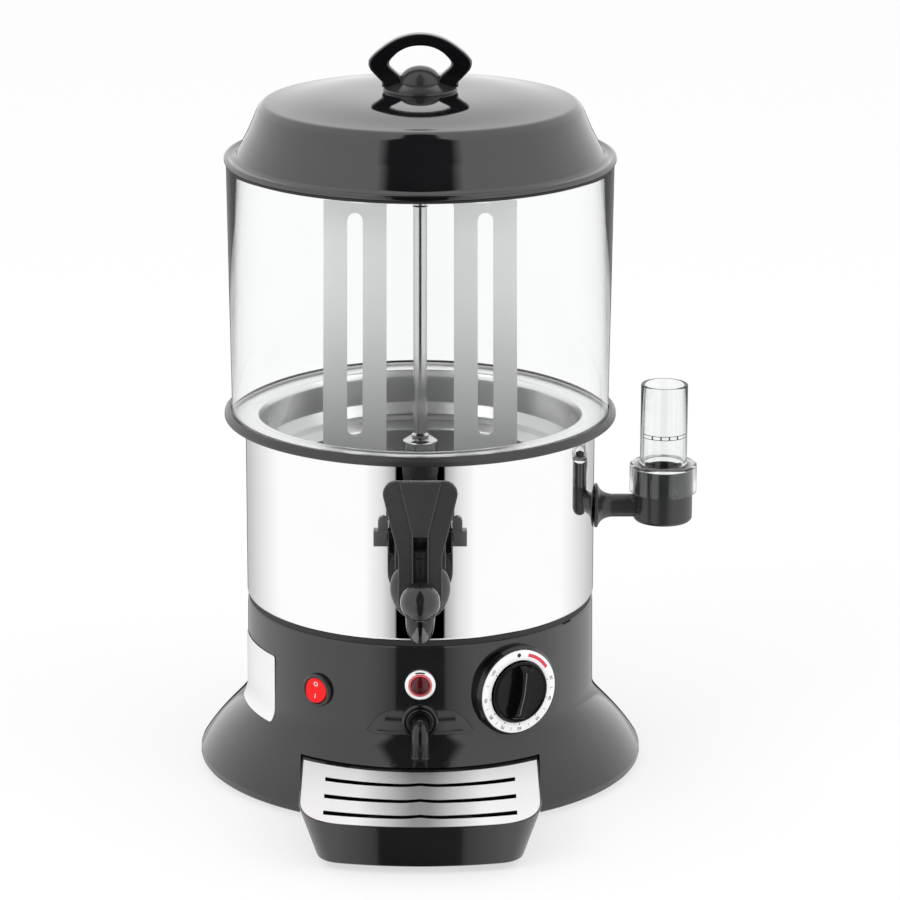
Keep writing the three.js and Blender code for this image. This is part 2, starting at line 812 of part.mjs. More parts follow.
function innerPot() {
  const flangeTop = tankTop + trimShelf + panWall;
  const lip = new THREE.CubicBezierCurve(
    at(panMouthRadius, panMouthHeight),
    at(panMouthRadius, (panMouthHeight + flangeTop) / 2),
    at((panMouthRadius + panLipRadius) / 2, flangeTop),
    at(panLipRadius, flangeTop),
  ).getPoints(cornerSides);
  const inside = [
    at(standpipeRadius + seatGap, panFloor),
    at(panFloorRadius, panFloor),
    at(panLowerRadius, panFloor + panFloorCorner),
    at(panLowerRadius, panStepHeight - panStepRise),
    at((panLowerRadius + panStepRadius) / 2, panStepHeight),
    at(panStepRadius, panStepHeight + panStepRise / 2),
    at(panNeckRadius, panStepHeight + panStepRise * 2),
    ...lip,
    at(panFlangeRadius, flangeTop),
  ];
  const outside = offsetPoints(inside, -panWall);
  outside[outside.length - 2].y = flangeTop - panWall;
  const shell = turned([...inside, ...outside.reverse()], bodySides);
  return cut(
    shell,
    shankHole(shankRadius + seatGap, tapHeight, 0, panFloorRadius - panFloorCorner, panMouthRadius),
  );
}

function trimRing() {
  return turned(
    [
      at(tankRimInner, tankTop),
      at(trimRadius - trimChamfer, tankTop),
      at(trimRadius, tankTop + trimChamfer),
      at(trimRadius, tankTop + trimEdge),
      at(panFlangeRadius + seatGap + trimTopWidth, tankTop + trimHeight),
      at(panFlangeRadius + seatGap, tankTop + trimHeight),
      at(panFlangeRadius + seatGap, tankTop + trimShelf),
      at(tankRimInner, tankTop + trimShelf),
    ],
    bodySides,
  );
}

const bowlGasket = () =>
  sleeve(
    panFlangeRadius,
    panFlangeRadius - bowlGasketWidth,
    bowlFoot - bowlGasketThickness,
    bowlFoot,
    bodySides,
  );

const bowl = () =>
  turned(
    [
      at(bowlBottomRadius - bowlWall, bowlFoot),
      at(bowlBottomRadius, bowlFoot),
      at(bowlTopRadius, bowlTop),
      at(bowlTopRadius - bowlWall, bowlTop),
    ],
    bodySides,
  );

const lidSeal = () => sleeve(lidRimRadius - seamRecess, lidSealInner, bowlTop, lidFoot, bodySides);

function lidShell() {
  const rimTop = lidFoot + lidRimHeight;
  const crown = (share) => lidTopEdge + (lidCrown - lidTopEdge) * (1 - share * share);
  const outer = [
    at(lidRimRadius, lidFoot + lidRimRound),
    at(lidRimRadius, rimTop - lidRimRound),
    at(lidRimRadius - lidRimRound, rimTop),
    at(lidGutterRadius, rimTop - lidGutterDrop),
    at(lidSideFootRadius, lidSideFoot),
    at(lidSideMiddleRadius, lidSideMiddle),
    at(lidShoulderRadius, lidShoulder),
    at((lidShoulderRadius + lidTopRadius) / 2, (lidShoulder + lidTopEdge + lidRimRound) / 2),
    at(lidTopRadius, lidTopEdge),
    at(lidTopRadius / 2, crown(1 / 2)),
    at(knobNeckRadius, lidCrown),
  ];
  const wallLine = [
    at(lidSideFootRadius, lidSideFoot),
    at(lidSideMiddleRadius, lidSideMiddle),
    at(lidShoulderRadius, lidShoulder),
    at(lidTopRadius, lidTopEdge),
    at(knobNeckRadius, lidCrown),
  ];
  const inner = offsetPoints(wallLine, lidWall);
  return turned(
    [
      at(lidRimRadius - lidRimRound, lidFoot),
      ...outer,
      at(lidScrewRadius + seatGap, lidCrown),
      at(lidScrewRadius + seatGap, lidCrown - lidWall),
      at(knobNeckRadius, lidCrown - lidWall),
      ...inner.slice(0, -1).reverse(),
      at(lidGutterRadius - lidWall, lidFoot),
    ],
    bodySides,
  );
}

function lidKnob() {
  const neckFoot = lidCrown;
  const hubFoot = neckFoot + knobNeckHeight;
  const dome = new THREE.EllipseCurve(
    0,
    hubFoot + knobConeHeight,
    knobDomeRadius,
    knobDomeHeight - knobConeHeight,
    0,
    Math.PI / 2,
  ).getPoints(cornerSides);
  dome[dome.length - 1].x = 0;
  const hub = turned(
    [
      at(0, neckFoot),
      at(knobNeckRadius, neckFoot),
      at(knobNeckRadius, hubFoot),
      at(knobHubRadius, hubFoot),
      at(knobHubRadius, hubFoot + knobHubHeight),
      ...dome,
    ],
    panelSides,
  );
  const place = ([across, up]) => at(across * loopHalfWidth, hubFoot + up * loopHeight);
  const mirrored = (shares) => {
    const half = shares.map(place);
    const other = half.slice(1).map((point) => at(-point.x, point.y));
    return [...half.reverse(), ...other];
  };
  const smooth = (shares) => new THREE.SplineCurve(mirrored(shares)).getPoints(3 * arcSides);
  const loop = new THREE.Shape(smooth(loopOuterShares));
  loop.holes.push(new THREE.Path(smooth(loopInnerShares)));
  const hole = bar(
    lidScrewRadius + seatGap,
    neckFoot - overrun,
    neckFoot + lidScrewDepth,
    smallSides,
  );
  return cut(join(hub, frontPlate(loop, -loopThickness / 2, loopThickness / 2, arcSides)), hole);
}

function lidScrew() {
  const headTop = lidCrown - lidWall;
  return turned(
    [
      at(0, headTop - lidScrewHeadHeight),
      at(lidScrewHead, headTop - lidScrewHeadHeight),
      at(lidScrewHead, headTop),
      at(lidScrewRadius, headTop),
      at(lidScrewRadius, lidCrown + lidScrewDepth - seatGap),
      at(0, lidCrown + lidScrewDepth - seatGap),
    ],
    smallSides,
  );
}

// The motor hangs from the tank on a plate with four posts
const bracketTop = tankBottom - bracketDrop;
function motorBracket() {
  const plate = sleeve(bracketRadius, driveShaftRadius + looseGap, bracketTop - bracketPlate, bracketTop, smallSides);
  const posts = Array.from({ length: bracketPosts }, (_, i) =>
    bar(bracketPostRadius, bracketTop - bracketPlate, tankBottom, smallSides)
      .translate(bracketPostRing, 0, 0)
      .rotateZ((2 * Math.PI * (i + 1 / 2)) / bracketPosts),
  );
  return join(plate, ...posts);
}

const gearboxTop = bracketTop - bracketPlate;
function gearbox() {
  return turned(
    [
      at(0, gearboxTop - gearboxHeight),
      at(gearboxRadius, gearboxTop - gearboxHeight),
      at(gearboxRadius, gearboxTop),
      at(driveShaftRadius + seatGap, gearboxTop),
      at(driveShaftRadius + seatGap, gearboxTop - gearboxSocket),
      at(0, gearboxTop - gearboxSocket),
    ],
    smallSides,
  );
}

function driveMotor() {
  const top = gearboxTop - gearboxHeight;
  return turned(
    [
      at(0, top - motorHeight),
      at(motorRadius - motorStep, top - motorHeight),
      at(motorRadius, top - motorHeight + motorStep),
      at(motorRadius, top),
      at(0, top),
    ],
    smallSides,
  );
}

const driveShaft = () =>
  bar(driveShaftRadius, gearboxTop - gearboxSocket + seatGap, hubCeiling + hubSocketDepth - seatGap, smallSides);

function stirrerHub() {
  const hub = turned(
    [
      at(hubCavityRadius, hubBottom),
      at(hubRadius, hubBottom),
      at(hubRadius, hubTop - hubChamfer),
      at(hubRadius - hubChamfer, hubTop),
      at(0, hubTop),
      at(0, hubCeiling + hubSocketDepth),
      at(driveShaftRadius + seatGap, hubCeiling + hubSocketDepth),
      at(driveShaftRadius + seatGap, hubCeiling),
      at(hubCavityRadius, hubCeiling),
    ],
    fittingSides,
  );
  const half = stirrerArmThickness / 2;
  const arms = block(
    spot(-paddleInner, -half, hubBottom),
    spot(paddleInner, half, hubBottom + stirrerArmHeight),
  );
  const room = bar(hubCavityRadius, hubBottom - overrun, hubBottom + stirrerArmHeight + overrun, fittingSides);
  return join(hub, cut(arms, room));
}

const stirrerShaft = () => bar(stirrerShaftRadius, hubTop, crossbarBottom + crossbarHeight, smallSides);

function paddle(side) {
  const top = crossbarBottom + crossbarHeight;
  const outline = new THREE.Shape()
    .moveTo(paddleInner, paddleBottom)
    .lineTo(paddleOuter - paddleCorner, paddleBottom)
    .absarc(paddleOuter - paddleCorner, paddleBottom + paddleCorner, paddleCorner, -Math.PI / 2, 0, false)
    .lineTo(paddleOuter, top)
    .lineTo(paddleInner, top);
  const middle = (paddleInner + paddleOuter) / 2;
  const round = paddleSlotWidth / 2;
  outline.holes.push(
    new THREE.Path()
      .absarc(middle, paddleSlotTop - round, round, 0, Math.PI, false)
      .absarc(middle, paddleSlotBottom + round, round, Math.PI, 2 * Math.PI, false),
  );
  const plate = frontPlate(outline, -paddleThickness / 2, paddleThickness / 2, cornerSides);
  return side < 0 ? plate.rotateZ(Math.PI) : plate;
}

function stirrerCrossbar() {
  const half = stirrerArmThickness / 2;
  const strip = block(
    spot(-paddleInner, -half, crossbarBottom),
    spot(paddleInner, half, crossbarBottom + crossbarHeight),
  );
  const ring = bar(crossbarHubRadius, crossbarBottom, crossbarBottom + crossbarHeight, fittingSides);
  const bore = bar(stirrerShaftRadius + seatGap, crossbarBottom - overrun, bowlTop, fittingSides);
  return cut(join(strip, ring), bore);
}

const stirrerCollar = () =>
  turned(
    [
      at(stirrerShaftRadius + seatGap, collarBottom),
      at(collarRadius - hubChamfer / 2, collarBottom),
      at(collarRadius, collarBottom + hubChamfer / 2),
      at(collarRadius, crossbarBottom),
      at(stirrerShaftRadius + seatGap, crossbarBottom),
    ],
    fittingSides,
  );

function stirrerCap() {
  const foot = crossbarBottom + crossbarHeight;
  return turned(
    [
      at(0, foot),
      at(crossbarHubRadius, foot),
      at(crossbarHubRadius, foot + capHeight - hubChamfer),
      at(crossbarHubRadius - hubChamfer, foot + capHeight),
      at(0, foot + capHeight),
    ],
    fittingSides,
  );
}

// A ring-shaped element whose two legs leave through the tank's bottom
function heatingElement() {
  const gapAngle = Math.asin(elementLegReach / elementRingRadius);
  const start = Math.PI / 2 + gapAngle;
  const sweep = 2 * Math.PI - 2 * gapAngle;
  const ringPath = new THREE.CatmullRomCurve3(
    Array.from({ length: elementSteps + 1 }, (_, i) => {
      const angle = start + (sweep * i) / elementSteps;
      return spot(elementRingRadius * Math.cos(angle), elementRingRadius * Math.sin(angle), elementHeight);
    }),
  );
  const legReach = elementRingRadius * Math.cos(gapAngle);
  const leg = bar(elementRadius, elementEnd, elementHeight + elementRadius, elementSides);
  return join(
    swept(ringPath, elementRadius, elementSides, elementSteps),
    leg.clone().translate(-elementLegReach, legReach, 0),
    leg.clone().translate(elementLegReach, legReach, 0),
  );
}

function terminalBlock() {
  const low = spot(-terminalLength / 2, terminalReach - terminalWidth / 2, basePlateThickness);
  const high = spot(terminalLength / 2, terminalReach + terminalWidth / 2, basePlateThickness + terminalHeight);
  const pitch = terminalLength / (terminalGrooves + 1);
  const grooves = Array.from({ length: terminalGrooves }, (_, i) => {
    const middle = low.x + pitch * (i + 1);
    return block(
      spot(middle - terminalGrooveWidth / 2, low.y - overrun, high.z - terminalGrooveDepth),
      spot(middle + terminalGrooveWidth / 2, high.y + overrun, high.z + overrun),
    );
  });
  return cut(block(low, high), ...grooves);
}

// The bulging lower body of the tap, flattened front to back
function tapBulge() {
  const rise = barrelNeckBottom - bulgeHeight;
  const drop = bulgeHeight - bulgeBottom;
  return turned(
    [
      at(0, barrelNeckBottom),
      at(barrelRadius, barrelNeckBottom),
      ...bulgeUpperShares.map(([reach, up]) => at(bulgeRadius * reach, bulgeHeight + rise * up)),
      at(bulgeRadius, bulgeHeight),
      ...bulgeLowerShares.map(([reach, down]) => at(bulgeRadius * reach, bulgeHeight - drop * down)),
      at(nozzleTopRadius, nozzleTop),
      at(0, nozzleTop),
    ],
    panelSides,
  ).scale(1, bulgeDepthShare, 1);
}

function tapNozzle() {
  const outer = turned(
    [at(0, nozzleBottom), at(nozzleBottomRadius, nozzleBottom), at(nozzleTopRadius, nozzleTop), at(0, nozzleTop)],
    fittingSides,
  );
  const core = turned(
    [
      at(0, nozzleBottom),
      at(nozzleBottomRadius - nozzleFluteDepth / 2, nozzleBottom),
      at(nozzleTopRadius - nozzleFluteDepth, nozzleTop),
      at(0, nozzleTop),
    ],
    smallSides,
  );
  const half = nozzleRibThickness / 2;
  const rib = block(spot(-nozzleTopRadius, -half, nozzleBottom), spot(nozzleTopRadius, half, nozzleTop));
  const ribs = join(rib, rib.clone().rotateZ(Math.PI / 2));
  return join(core, common(ribs, outer));
}

function tapEar(low) {
  const outline = new THREE.Shape()
    .moveTo(tapGasketFront + overrun, earFoot)
    .lineTo(tapGasketFront + overrun, pivotHeight + earRound)
    .lineTo(pivotReach, pivotHeight + earRound)
    .absarc(pivotReach, pivotHeight, earRound, Math.PI / 2, 0, true)
    .lineTo(pivotReach + earRound, earFoot);
  return sidePlate(outline, low, low + earThickness, cornerSides);
}

function tapBody() {
  const flangeFront = tapGasketFront + tapFlangeThickness;
  const shank = turnedForward(
    [
      at(0, shankInnerEnd),
      at(shankRadius, shankInnerEnd),
      at(shankRadius, tapGasketFront),
      at(tapFlangeRadius, tapGasketFront),
      at(tapFlangeRadius, flangeFront),
      at(shankRadius, flangeFront),
      at(shankRadius, tapReach),
      at(0, tapReach),
    ],
    panelSides,
  ).translate(0, 0, tapHeight);
  const backPlate = block(
    spot(-tapFlangeRadius, -flangeFront, tapHeight),
    spot(tapFlangeRadius, -tapGasketFront, pivotHeight + earRound),
  );
  const barrel = bar(barrelRadius, bulgeHeight, barrelTop, fittingSides).translate(0, -tapReach, 0);
  const cavity = turned(
    [
      at(0, nozzleBottom - overrun),
      at(nozzleBore, nozzleBottom - overrun),
      at(nozzleBore, nozzleTop),
      at(seatRadius, seatHeight),
      at(barrelBore, boreFloor),
      at(barrelBore, barrelTop + overrun),
      at(0, barrelTop + overrun),
    ],
    fittingSides,
  ).translate(0, -tapReach, 0);
  const pivotBore = acrossBar(pivotRadius + seatGap, wingOuter, smallSides).translate(0, -pivotReach, pivotHeight);
  return cut(
    join(
      shank,
      backPlate,
      barrel,
      tapBulge().translate(0, -tapReach, 0),
      tapNozzle().translate(0, -tapReach, 0),
      tapEar(earInner),
      tapEar(-earInner - earThickness),
    ),
    cavity,
    forwardBar(shankBore, shankInnerEnd - overrun, tapReach, fittingSides).translate(0, 0, tapHeight),
    pivotBore,
  );
}

// A rubber washer shaped to the round body behind the tap's flange
function tapGasket() {
  const washer = turnedForward(
    [
      at(shankRadius + seatGap, tankRimInner),
      at(tapFlangeRadius, tankRimInner),
      at(tapFlangeRadius, tapGasketFront),
      at(shankRadius + seatGap, tapGasketFront),
    ],
    fittingSides,
  ).translate(0, 0, tapHeight);
  return cut(washer, bar(tankRadius + seatGap, tankBottom, tankTop, bodySides * 2));
}

function tapSleeve() {
  const tube = turnedForward(
    [
      at(shankRadius + seatGap, panLowerRadius),
      at(tapNutRadius, panLowerRadius),
      at(tapNutRadius, tankRadius),
      at(shankRadius + seatGap, tankRadius),
    ],
    fittingSides,
  ).translate(0, 0, tapHeight);
  const outside = sleeve(trimRadius, tankRadius - tankWall - seatGap, tankBottom, tankTop, bodySides);
  const inside = bar(panLowerRadius + panWall + seatGap, tankBottom, tankTop, bodySides);
  return cut(tube, outside, inside);
}

// A six-sided nut with a flat edge downwards, on a shank of the given radius
function hexNut(radius, shank, back, thickness) {
  const body = forwardBar(radius, back, back + thickness, nutSides).rotateY(Math.PI / nutSides);
  return cut(body, forwardBar(shank + seatGap, back - overrun, back + thickness + overrun, fittingSides));
}

const tapNut = () =>
  hexNut(tapNutRadius, shankRadius, tapNutBack, tapNutThickness).translate(0, 0, tapHeight);

const tapCap = () =>
  turned(
    [
      at(plungerStemRadius + seatGap, barrelTop - capPlugHeight),
      at(barrelBore - seatGap, barrelTop - capPlugHeight),
      at(barrelBore - seatGap, barrelTop),
      at(barrelRadius, barrelTop),
      at(barrelRadius, barrelTop + capFlangeHeight),
      at(plungerStemRadius + seatGap, barrelTop + capFlangeHeight),
    ],
    fittingSides,
  ).translate(0, -tapReach, 0);

function tapPlunger() {
  const headFoot = liftPinHeight + liftPinRadius + seatGap;
  return turned(
    [
      at(0, pistonTip),
      at(pistonTipRadius, pistonTip),
      at(pistonRadius, pistonBottom),
      at(pistonRadius, pistonTop),
      at(plungerStemRadius, pistonTop),
      at(plungerStemRadius, headFoot),
      at(plungerHeadRadius, headFoot),
      at(plungerHeadRadius, headFoot + plungerHeadHeight),
      at(0, headFoot + plungerHeadHeight),
    ],
    fittingSides,
  ).translate(0, -tapReach, 0);
}

const tapSpring = () =>
  sleeve(
    plungerStemRadius + looseGap + springWire,
    plungerStemRadius + looseGap,
    pistonTop + seatGap,
    barrelTop - capPlugHeight - seatGap,
    smallSides,
  ).translate(0, -tapReach, 0);

// The winged bar that the lever turns on
function tapPin() {
  const wing = (side) => {
    const near = side * wingInner;
    const far = side * wingOuter;
    const low = Math.min(near, far);
    const high = Math.max(near, far);
    const head = block(
      spot(low, -pivotReach - wingDepth / 2, pivotHeight - wingHeight / 2),
      spot(high, -pivotReach + wingDepth / 2, pivotHeight + wingHeight / 2),
    );
    const tabRound = wingTabWidth / 2;
    const tabMiddle = side * (wingInner + tabRound);
    const tab = new THREE.Shape()
      .moveTo(tabMiddle - tabRound, pivotHeight)
      .lineTo(tabMiddle + tabRound, pivotHeight)
      .absarc(tabMiddle, wingTabTop - tabRound, tabRound, 0, Math.PI, false);
    return join(head, frontPlate(tab, pivotReach - pivotRadius, pivotReach + pivotRadius, cornerSides));
  };
  const rod = acrossBar(pivotRadius, wingInner + overrun, smallSides).translate(0, -pivotReach, pivotHeight);
  return join(rod, wing(-1), wing(1));
}

function leverPlate() {
  const cornerDrop = leverTop - leverTopCorner;
  const outline = new THREE.Shape()
    .moveTo(-leverWaistHalfWidth, leverBottom)
    .lineTo(leverWaistHalfWidth, leverBottom)
    .lineTo(leverWaistHalfWidth, leverWaistHeight)
    .lineTo(leverTopHalfWidth, cornerDrop)
    .quadraticCurveTo(leverTopHalfWidth, leverTop, leverTopHalfWidth - leverTopCorner, leverTop)
    .lineTo(leverTopCorner - leverTopHalfWidth, leverTop)
    .quadraticCurveTo(-leverTopHalfWidth, leverTop, -leverTopHalfWidth, cornerDrop)
    .lineTo(-leverWaistHalfWidth, leverWaistHeight);
  const wedge = new THREE.Shape()
    .moveTo(-leverWedgeTopHalfWidth, leverTop)
    .lineTo(-leverWedgeFootHalfWidth, leverWedgeFoot)
    .lineTo(-leverWedgeFootHalfWidth, leverBottom)
    .lineTo(leverWedgeFootHalfWidth, leverBottom)
    .lineTo(leverWedgeFootHalfWidth, leverWedgeFoot)
    .lineTo(leverWedgeTopHalfWidth, leverTop);
  const back = leverFace - leverThickness;
  const slot = block(
    spot(-leverSlotHalfWidth, -leverFace - overrun, leverSlotBottom),
    spot(leverSlotHalfWidth, -back + overrun, leverSlotTop),
  );
  const plate = frontPlate(outline, back, leverFace - leverWedgeThickness, cornerSides);
  return cut(join(plate, frontPlate(wedge, back, leverFace, cornerSides)), slot);
}

function tapLever() {
  const back = leverFace - leverThickness;
  const arm = new THREE.Shape()
    .moveTo(back + overrun / 2, leverArmBottom)
    .lineTo(back + overrun / 2, leverArmTop)
    .lineTo(pivotReach, pivotHeight + earRound)
    .absarc(pivotReach, pivotHeight, earRound, Math.PI / 2, (3 * Math.PI) / 2, false);
  const armAt = (low) => sidePlate(arm, low, low + leverArmThickness, cornerSides);
  const liftPin = (side) =>
    acrossBar(liftPinRadius, (leverArmInner - liftPinReach + leverArmThickness / 2) / 2, smallSides).translate(
      (side * (leverArmInner + liftPinReach + leverArmThickness / 2)) / 2,
      -tapReach,
      liftPinHeight,
    );
  const bore = acrossBar(pivotRadius + seatGap, wingInner, smallSides).translate(0, -pivotReach, pivotHeight);
  return cut(
    join(
      leverPlate(),
      armAt(leverArmInner),
      armAt(-leverArmInner - leverArmThickness),
      liftPin(-1),
      liftPin(1),
    ),
    bore,
  );
}

// A ball cut flat where it meets the lever's face
function tapBall() {
  const reach = leverFace + ballStandOff;
  const ball = new THREE.SphereGeometry(ballRadius, fittingSides, ballRows).translate(0, -reach, ballHeight);
  const behind = block(
    spot(-ballRadius, -leverFace, ballHeight - ballRadius),
    spot(ballRadius, -reach + ballRadius + overrun, ballHeight + ballRadius),
  );
  return cut(ball, behind);
}

// The gauge's arm with its trumpet flange, and the black cup on its end, pointing forward
function gaugeCup() {
  const flareLength = gaugeArmStart - gaugeFlangeFront;
  const flare = new THREE.QuadraticBezierCurve(
    at(gaugeFlangeRadius, gaugeFlangeFront),
    at(gaugeArmRadius, gaugeFlangeFront + flareLength * (1 - gaugeFlarePullShare)),
    at(gaugeArmRadius, gaugeArmStart),
  ).getPoints(cornerSides);
  const arm = turnedForward(
    [
      at(0, gaugeShankEnd),
      at(gaugeShankRadius, gaugeShankEnd),
      at(gaugeShankRadius, tankRimInner),
      at(gaugeFlangeRadius, tankRimInner),
      ...flare,
      at(gaugeArmRadius, gaugeReach),
      at(0, gaugeReach),
    ],
    fittingSides,
  ).translate(0, 0, gaugeArmHeight);
  const insideWall = sleeve(
    tankRadius + seatGap,
    gaugeShankEnd - overrun,
    gaugeArmHeight - gaugeFlangeRadius - overrun,
    gaugeArmHeight + gaugeFlangeRadius + overrun,
    bodySides * 2,
  );
  const shankKept = forwardBar(gaugeShankRadius, gaugeShankEnd, tankRadius + overrun, fittingSides).translate(
    0,
    0,
    gaugeArmHeight,
  );
  const cup = turned(
    [
      at(0, cupBottom),
      at(cupRadius - cupFootChamfer, cupBottom),
      at(cupRadius, cupBottom + cupFootChamfer),
      at(cupRadius, cupTop),
      at(0, cupTop),
    ],
    fittingSides,
  ).translate(0, -gaugeReach, 0);
  const hollow = bar(cupRadius - cupWall, cupFloor, cupTop + overrun, fittingSides).translate(0, -gaugeReach, 0);
  const bore = forwardBar(gaugeArmBore, gaugeShankEnd - overrun, gaugeReach, smallSides).translate(
    0,
    0,
    gaugeArmHeight,
  );
  return cut(join(cut(arm, insideWall), shankKept, cup), hollow, bore);
}

const gaugeNut = () =>
  hexNut(gaugeNutRadius, gaugeShankRadius, gaugeShankEnd + overrun, gaugeNutThickness).translate(
    0,
    0,
    gaugeArmHeight,
  );

// The clear tube, whose wide skirt sits over the cup
const gaugeTube = () =>
  turned(
    [
      at(cupRadius + seatGap, skirtTubeBottom),
      at(skirtTubeRadius, skirtTubeBottom),
      at(skirtTubeRadius, shoulderTop - shoulderBevel),
      at(skirtTubeRadius - shoulderBevel, shoulderTop),
      at(tubeRadius, shoulderTop),
      at(tubeRadius, tubeTop),
      at(tubeRadius - tubeWall, tubeTop),
      at(tubeRadius - tubeWall, cupTop + seatGap),
      at(cupRadius + seatGap, cupTop + seatGap),
    ],
    fittingSides,
  ).translate(0, -gaugeReach, 0);

const wallFace = baseRadius + panelGap;

function dialBezel() {
  const disc = turnedForward(
    [
      at(dialHoleRadius, seatRingInner),
      at(dialBezelRadius, seatRingInner),
      at(dialBezelRadius, dialBezelFront),
      at(dialStepRadius, dialBezelFront),
      at(dialStepRadius, dialStepFront),
      at(dialHoleRadius, dialStepFront),
    ],
    panelSides,
  );
  return cut(disc, baseEnvelope(panelGap).translate(0, 0, -dialHeight));
}

const dialScaleRing = () =>
  turnedForward(
    [
      at(scaleInner, dialStepFront + panelGap),
      at(scaleOuter, dialStepFront + panelGap),
      at(scaleOuter, dialStepFront + panelGap + scaleThickness),
      at(scaleInner, dialStepFront + panelGap + scaleThickness),
    ],
    panelSides,
  );

function dialKnob() {
  const skirtFront = knobBack + knobSkirtHeight;
  const body = turnedForward(
    [
      at(0, knobBack),
      at(knobSkirtRadius, knobBack),
      at(knobSkirtRadius, skirtFront),
      at(knobBodyRadius, skirtFront),
      at(knobBodyRadius, knobBack + knobBodyHeight - knobSkirtHeight),
      at(knobCrownRadius, knobBack + knobBodyHeight),
      at(0, knobBack + knobBodyHeight),
    ],
    panelSides,
  );
  const waist = knobGripHalfWidth * knobGripWaistShare;
  const grip = new THREE.Shape()
    .moveTo(-knobGripHalfWidth, -knobBodyRadius)
    .lineTo(knobGripHalfWidth, -knobBodyRadius)
    .quadraticCurveTo(waist, 0, knobGripHalfWidth, knobBodyRadius)
    .lineTo(-knobGripHalfWidth, knobBodyRadius)
    .quadraticCurveTo(-waist, 0, -knobGripHalfWidth, -knobBodyRadius);
  const bounds = turnedForward(
    [
      at(0, knobBack),
      at(knobBodyRadius, knobBack),
      at(knobCrownRadius, knobBack + knobGripHeight),
      at(0, knobBack + knobGripHeight),
    ],
    fittingSides,
  );
  const ridge = common(frontPlate(grip, knobBack, knobBack + knobGripHeight, cornerSides), bounds);
  const socket = forwardBar(spindleRadius + panelGap, knobBack - overrun, knobBack + spindleDepth, smallSides);
  return cut(join(body, ridge), socket);
}

const thermostatSpindle = () =>
  forwardBar(spindleRadius, thermostatFront - spindleDepth, knobBack + spindleDepth - panelGap, smallSides);

function thermostatBody() {
  const half = thermostatWidth / 2;
  const box = block(spot(-half, -thermostatFront, -half), spot(half, -thermostatBack, half));
  const neck = forwardBar(thermostatNeckRadius, thermostatFront - overrun, dialBezelFront, fittingSides);
  const bore = forwardBar(
    spindleRadius + panelGap,
    thermostatFront - spindleDepth - panelGap,
    knobBack,
    smallSides,
  );
  return cut(join(box, neck), bore);
}

function switchHousing() {
  const front = wallFace + rockerBezelThickness;
  const bevel = rockerBezelThickness / 3;
  return turnedForward(
    [
      at(0, rockerBodyBack),
      at(rockerBodyRadius, rockerBodyBack),
      at(rockerBodyRadius, wallFace),
      at(rockerBezelRadius, wallFace),
      at(rockerBezelRadius, front - bevel),
      at(rockerBezelRadius - bevel, front),
      at(rockerRecess, front),
      at(rockerRecess, rockerRecessFloor),
      at(0, rockerRecessFloor),
    ],
    fittingSides,
  );
}

function powerRocker() {
  const side = new THREE.Shape()
    .moveTo(rockerBack, -rockerBackHalf)
    .lineTo(rockerWaist, -rockerRadius)
    .lineTo(rockerFront, -rockerRadius)
    .lineTo(rockerFront - rockerDip, 0)
    .lineTo(rockerFront, rockerRadius)
    .lineTo(rockerWaist, rockerRadius)
    .lineTo(rockerBack, rockerBackHalf);
  const wedge = sidePlate(side, -rockerRadius, rockerRadius, arcSides);
  const round = forwardBar(rockerRadius, rockerBack - overrun, rockerFront + overrun, fittingSides);
  return common(wedge, round)
    .translate(0, rockerPivot, 0)
    .rotateX(-rockerTilt)
    .translate(0, -rockerPivot, 0);
}

function lampBezel() {
  const front = wallFace + lampBezelThickness;
  const bevel = lampBezelThickness / 3;
  return turnedForward(
    [
      at(0, lampBodyBack),
      at(lampBodyRadius, lampBodyBack),
      at(lampBodyRadius, wallFace),
      at(lampBezelRadius, wallFace),
      at(lampBezelRadius, front - bevel),
      at(lampBezelRadius - bevel, front),
      at(lensRadius + panelGap, front),
      at(lensRadius + panelGap, wallFace + lensSeat),
      at(0, wallFace + lensSeat),
    ],
    fittingSides,
  );
}

function lampLens() {
  const seat = wallFace + lensSeat;
  const dome = new THREE.EllipseCurve(0, seat + lensSeat, lensRadius, lensDome, 0, Math.PI / 2).getPoints(
    cornerSides,
  );
  dome[dome.length - 1].x = 0;
  return turnedForward([at(0, seat), at(lensRadius, seat), ...dome], fittingSides);
}

const drainFront = wallFace + rosetteThickness;
function drainBody() {
  const rosette = turnedForward(
    [
      at(0, seatRingInner),
      at(rosetteRadius, seatRingInner),
      at(rosetteRadius, drainFront - rosetteBevel),
      at(rosetteRadius - rosetteBevel, drainFront),
      at(spoutRadius + panelGap, drainFront),
      at(spoutRadius + panelGap, drainFront - drainSocketDepth),
      at(0, drainFront - drainSocketDepth),
    ],
    fittingSides,
  );
  const shank = forwardBar(drainShankRadius, drainShankBack, drainFront - drainSocketDepth, fittingSides);
  return join(cut(rosette, baseEnvelope(panelGap).translate(0, 0, -drainHeight)), shank);
}

// A quarter bend between two straight runs
function elbow(start, corner, end, bend) {
  const path = new THREE.CurvePath();
  const towards = (from, to) => from.clone().lerp(to, 1 - bend / from.distanceTo(to));
  const bendStart = towards(start, corner);
  const bendEnd = towards(end, corner);
  path.add(new THREE.LineCurve3(start, bendStart));
  path.add(new THREE.QuadraticBezierCurve3(bendStart, corner, bendEnd));
  path.add(new THREE.LineCurve3(bendEnd, end));
  return path;
}

function drainSpout() {
  const start = spot(0, -(drainFront - drainSocketDepth + panelGap), 0);
  const corner = spot(0, -(drainFront + spoutStraight + spoutBend), 0);
  const end = spot(0, corner.y, -(spoutBend + spoutDrop));
  const tube = swept(elbow(start, corner, end, spoutBend), spoutRadius, smallSides, arcSides + cornerSides);
  const mouth = bar(spoutBore, end.z - overrun, end.z + spoutDrop, smallSides).translate(0, corner.y, 0);
  return cut(tube, mouth);
}

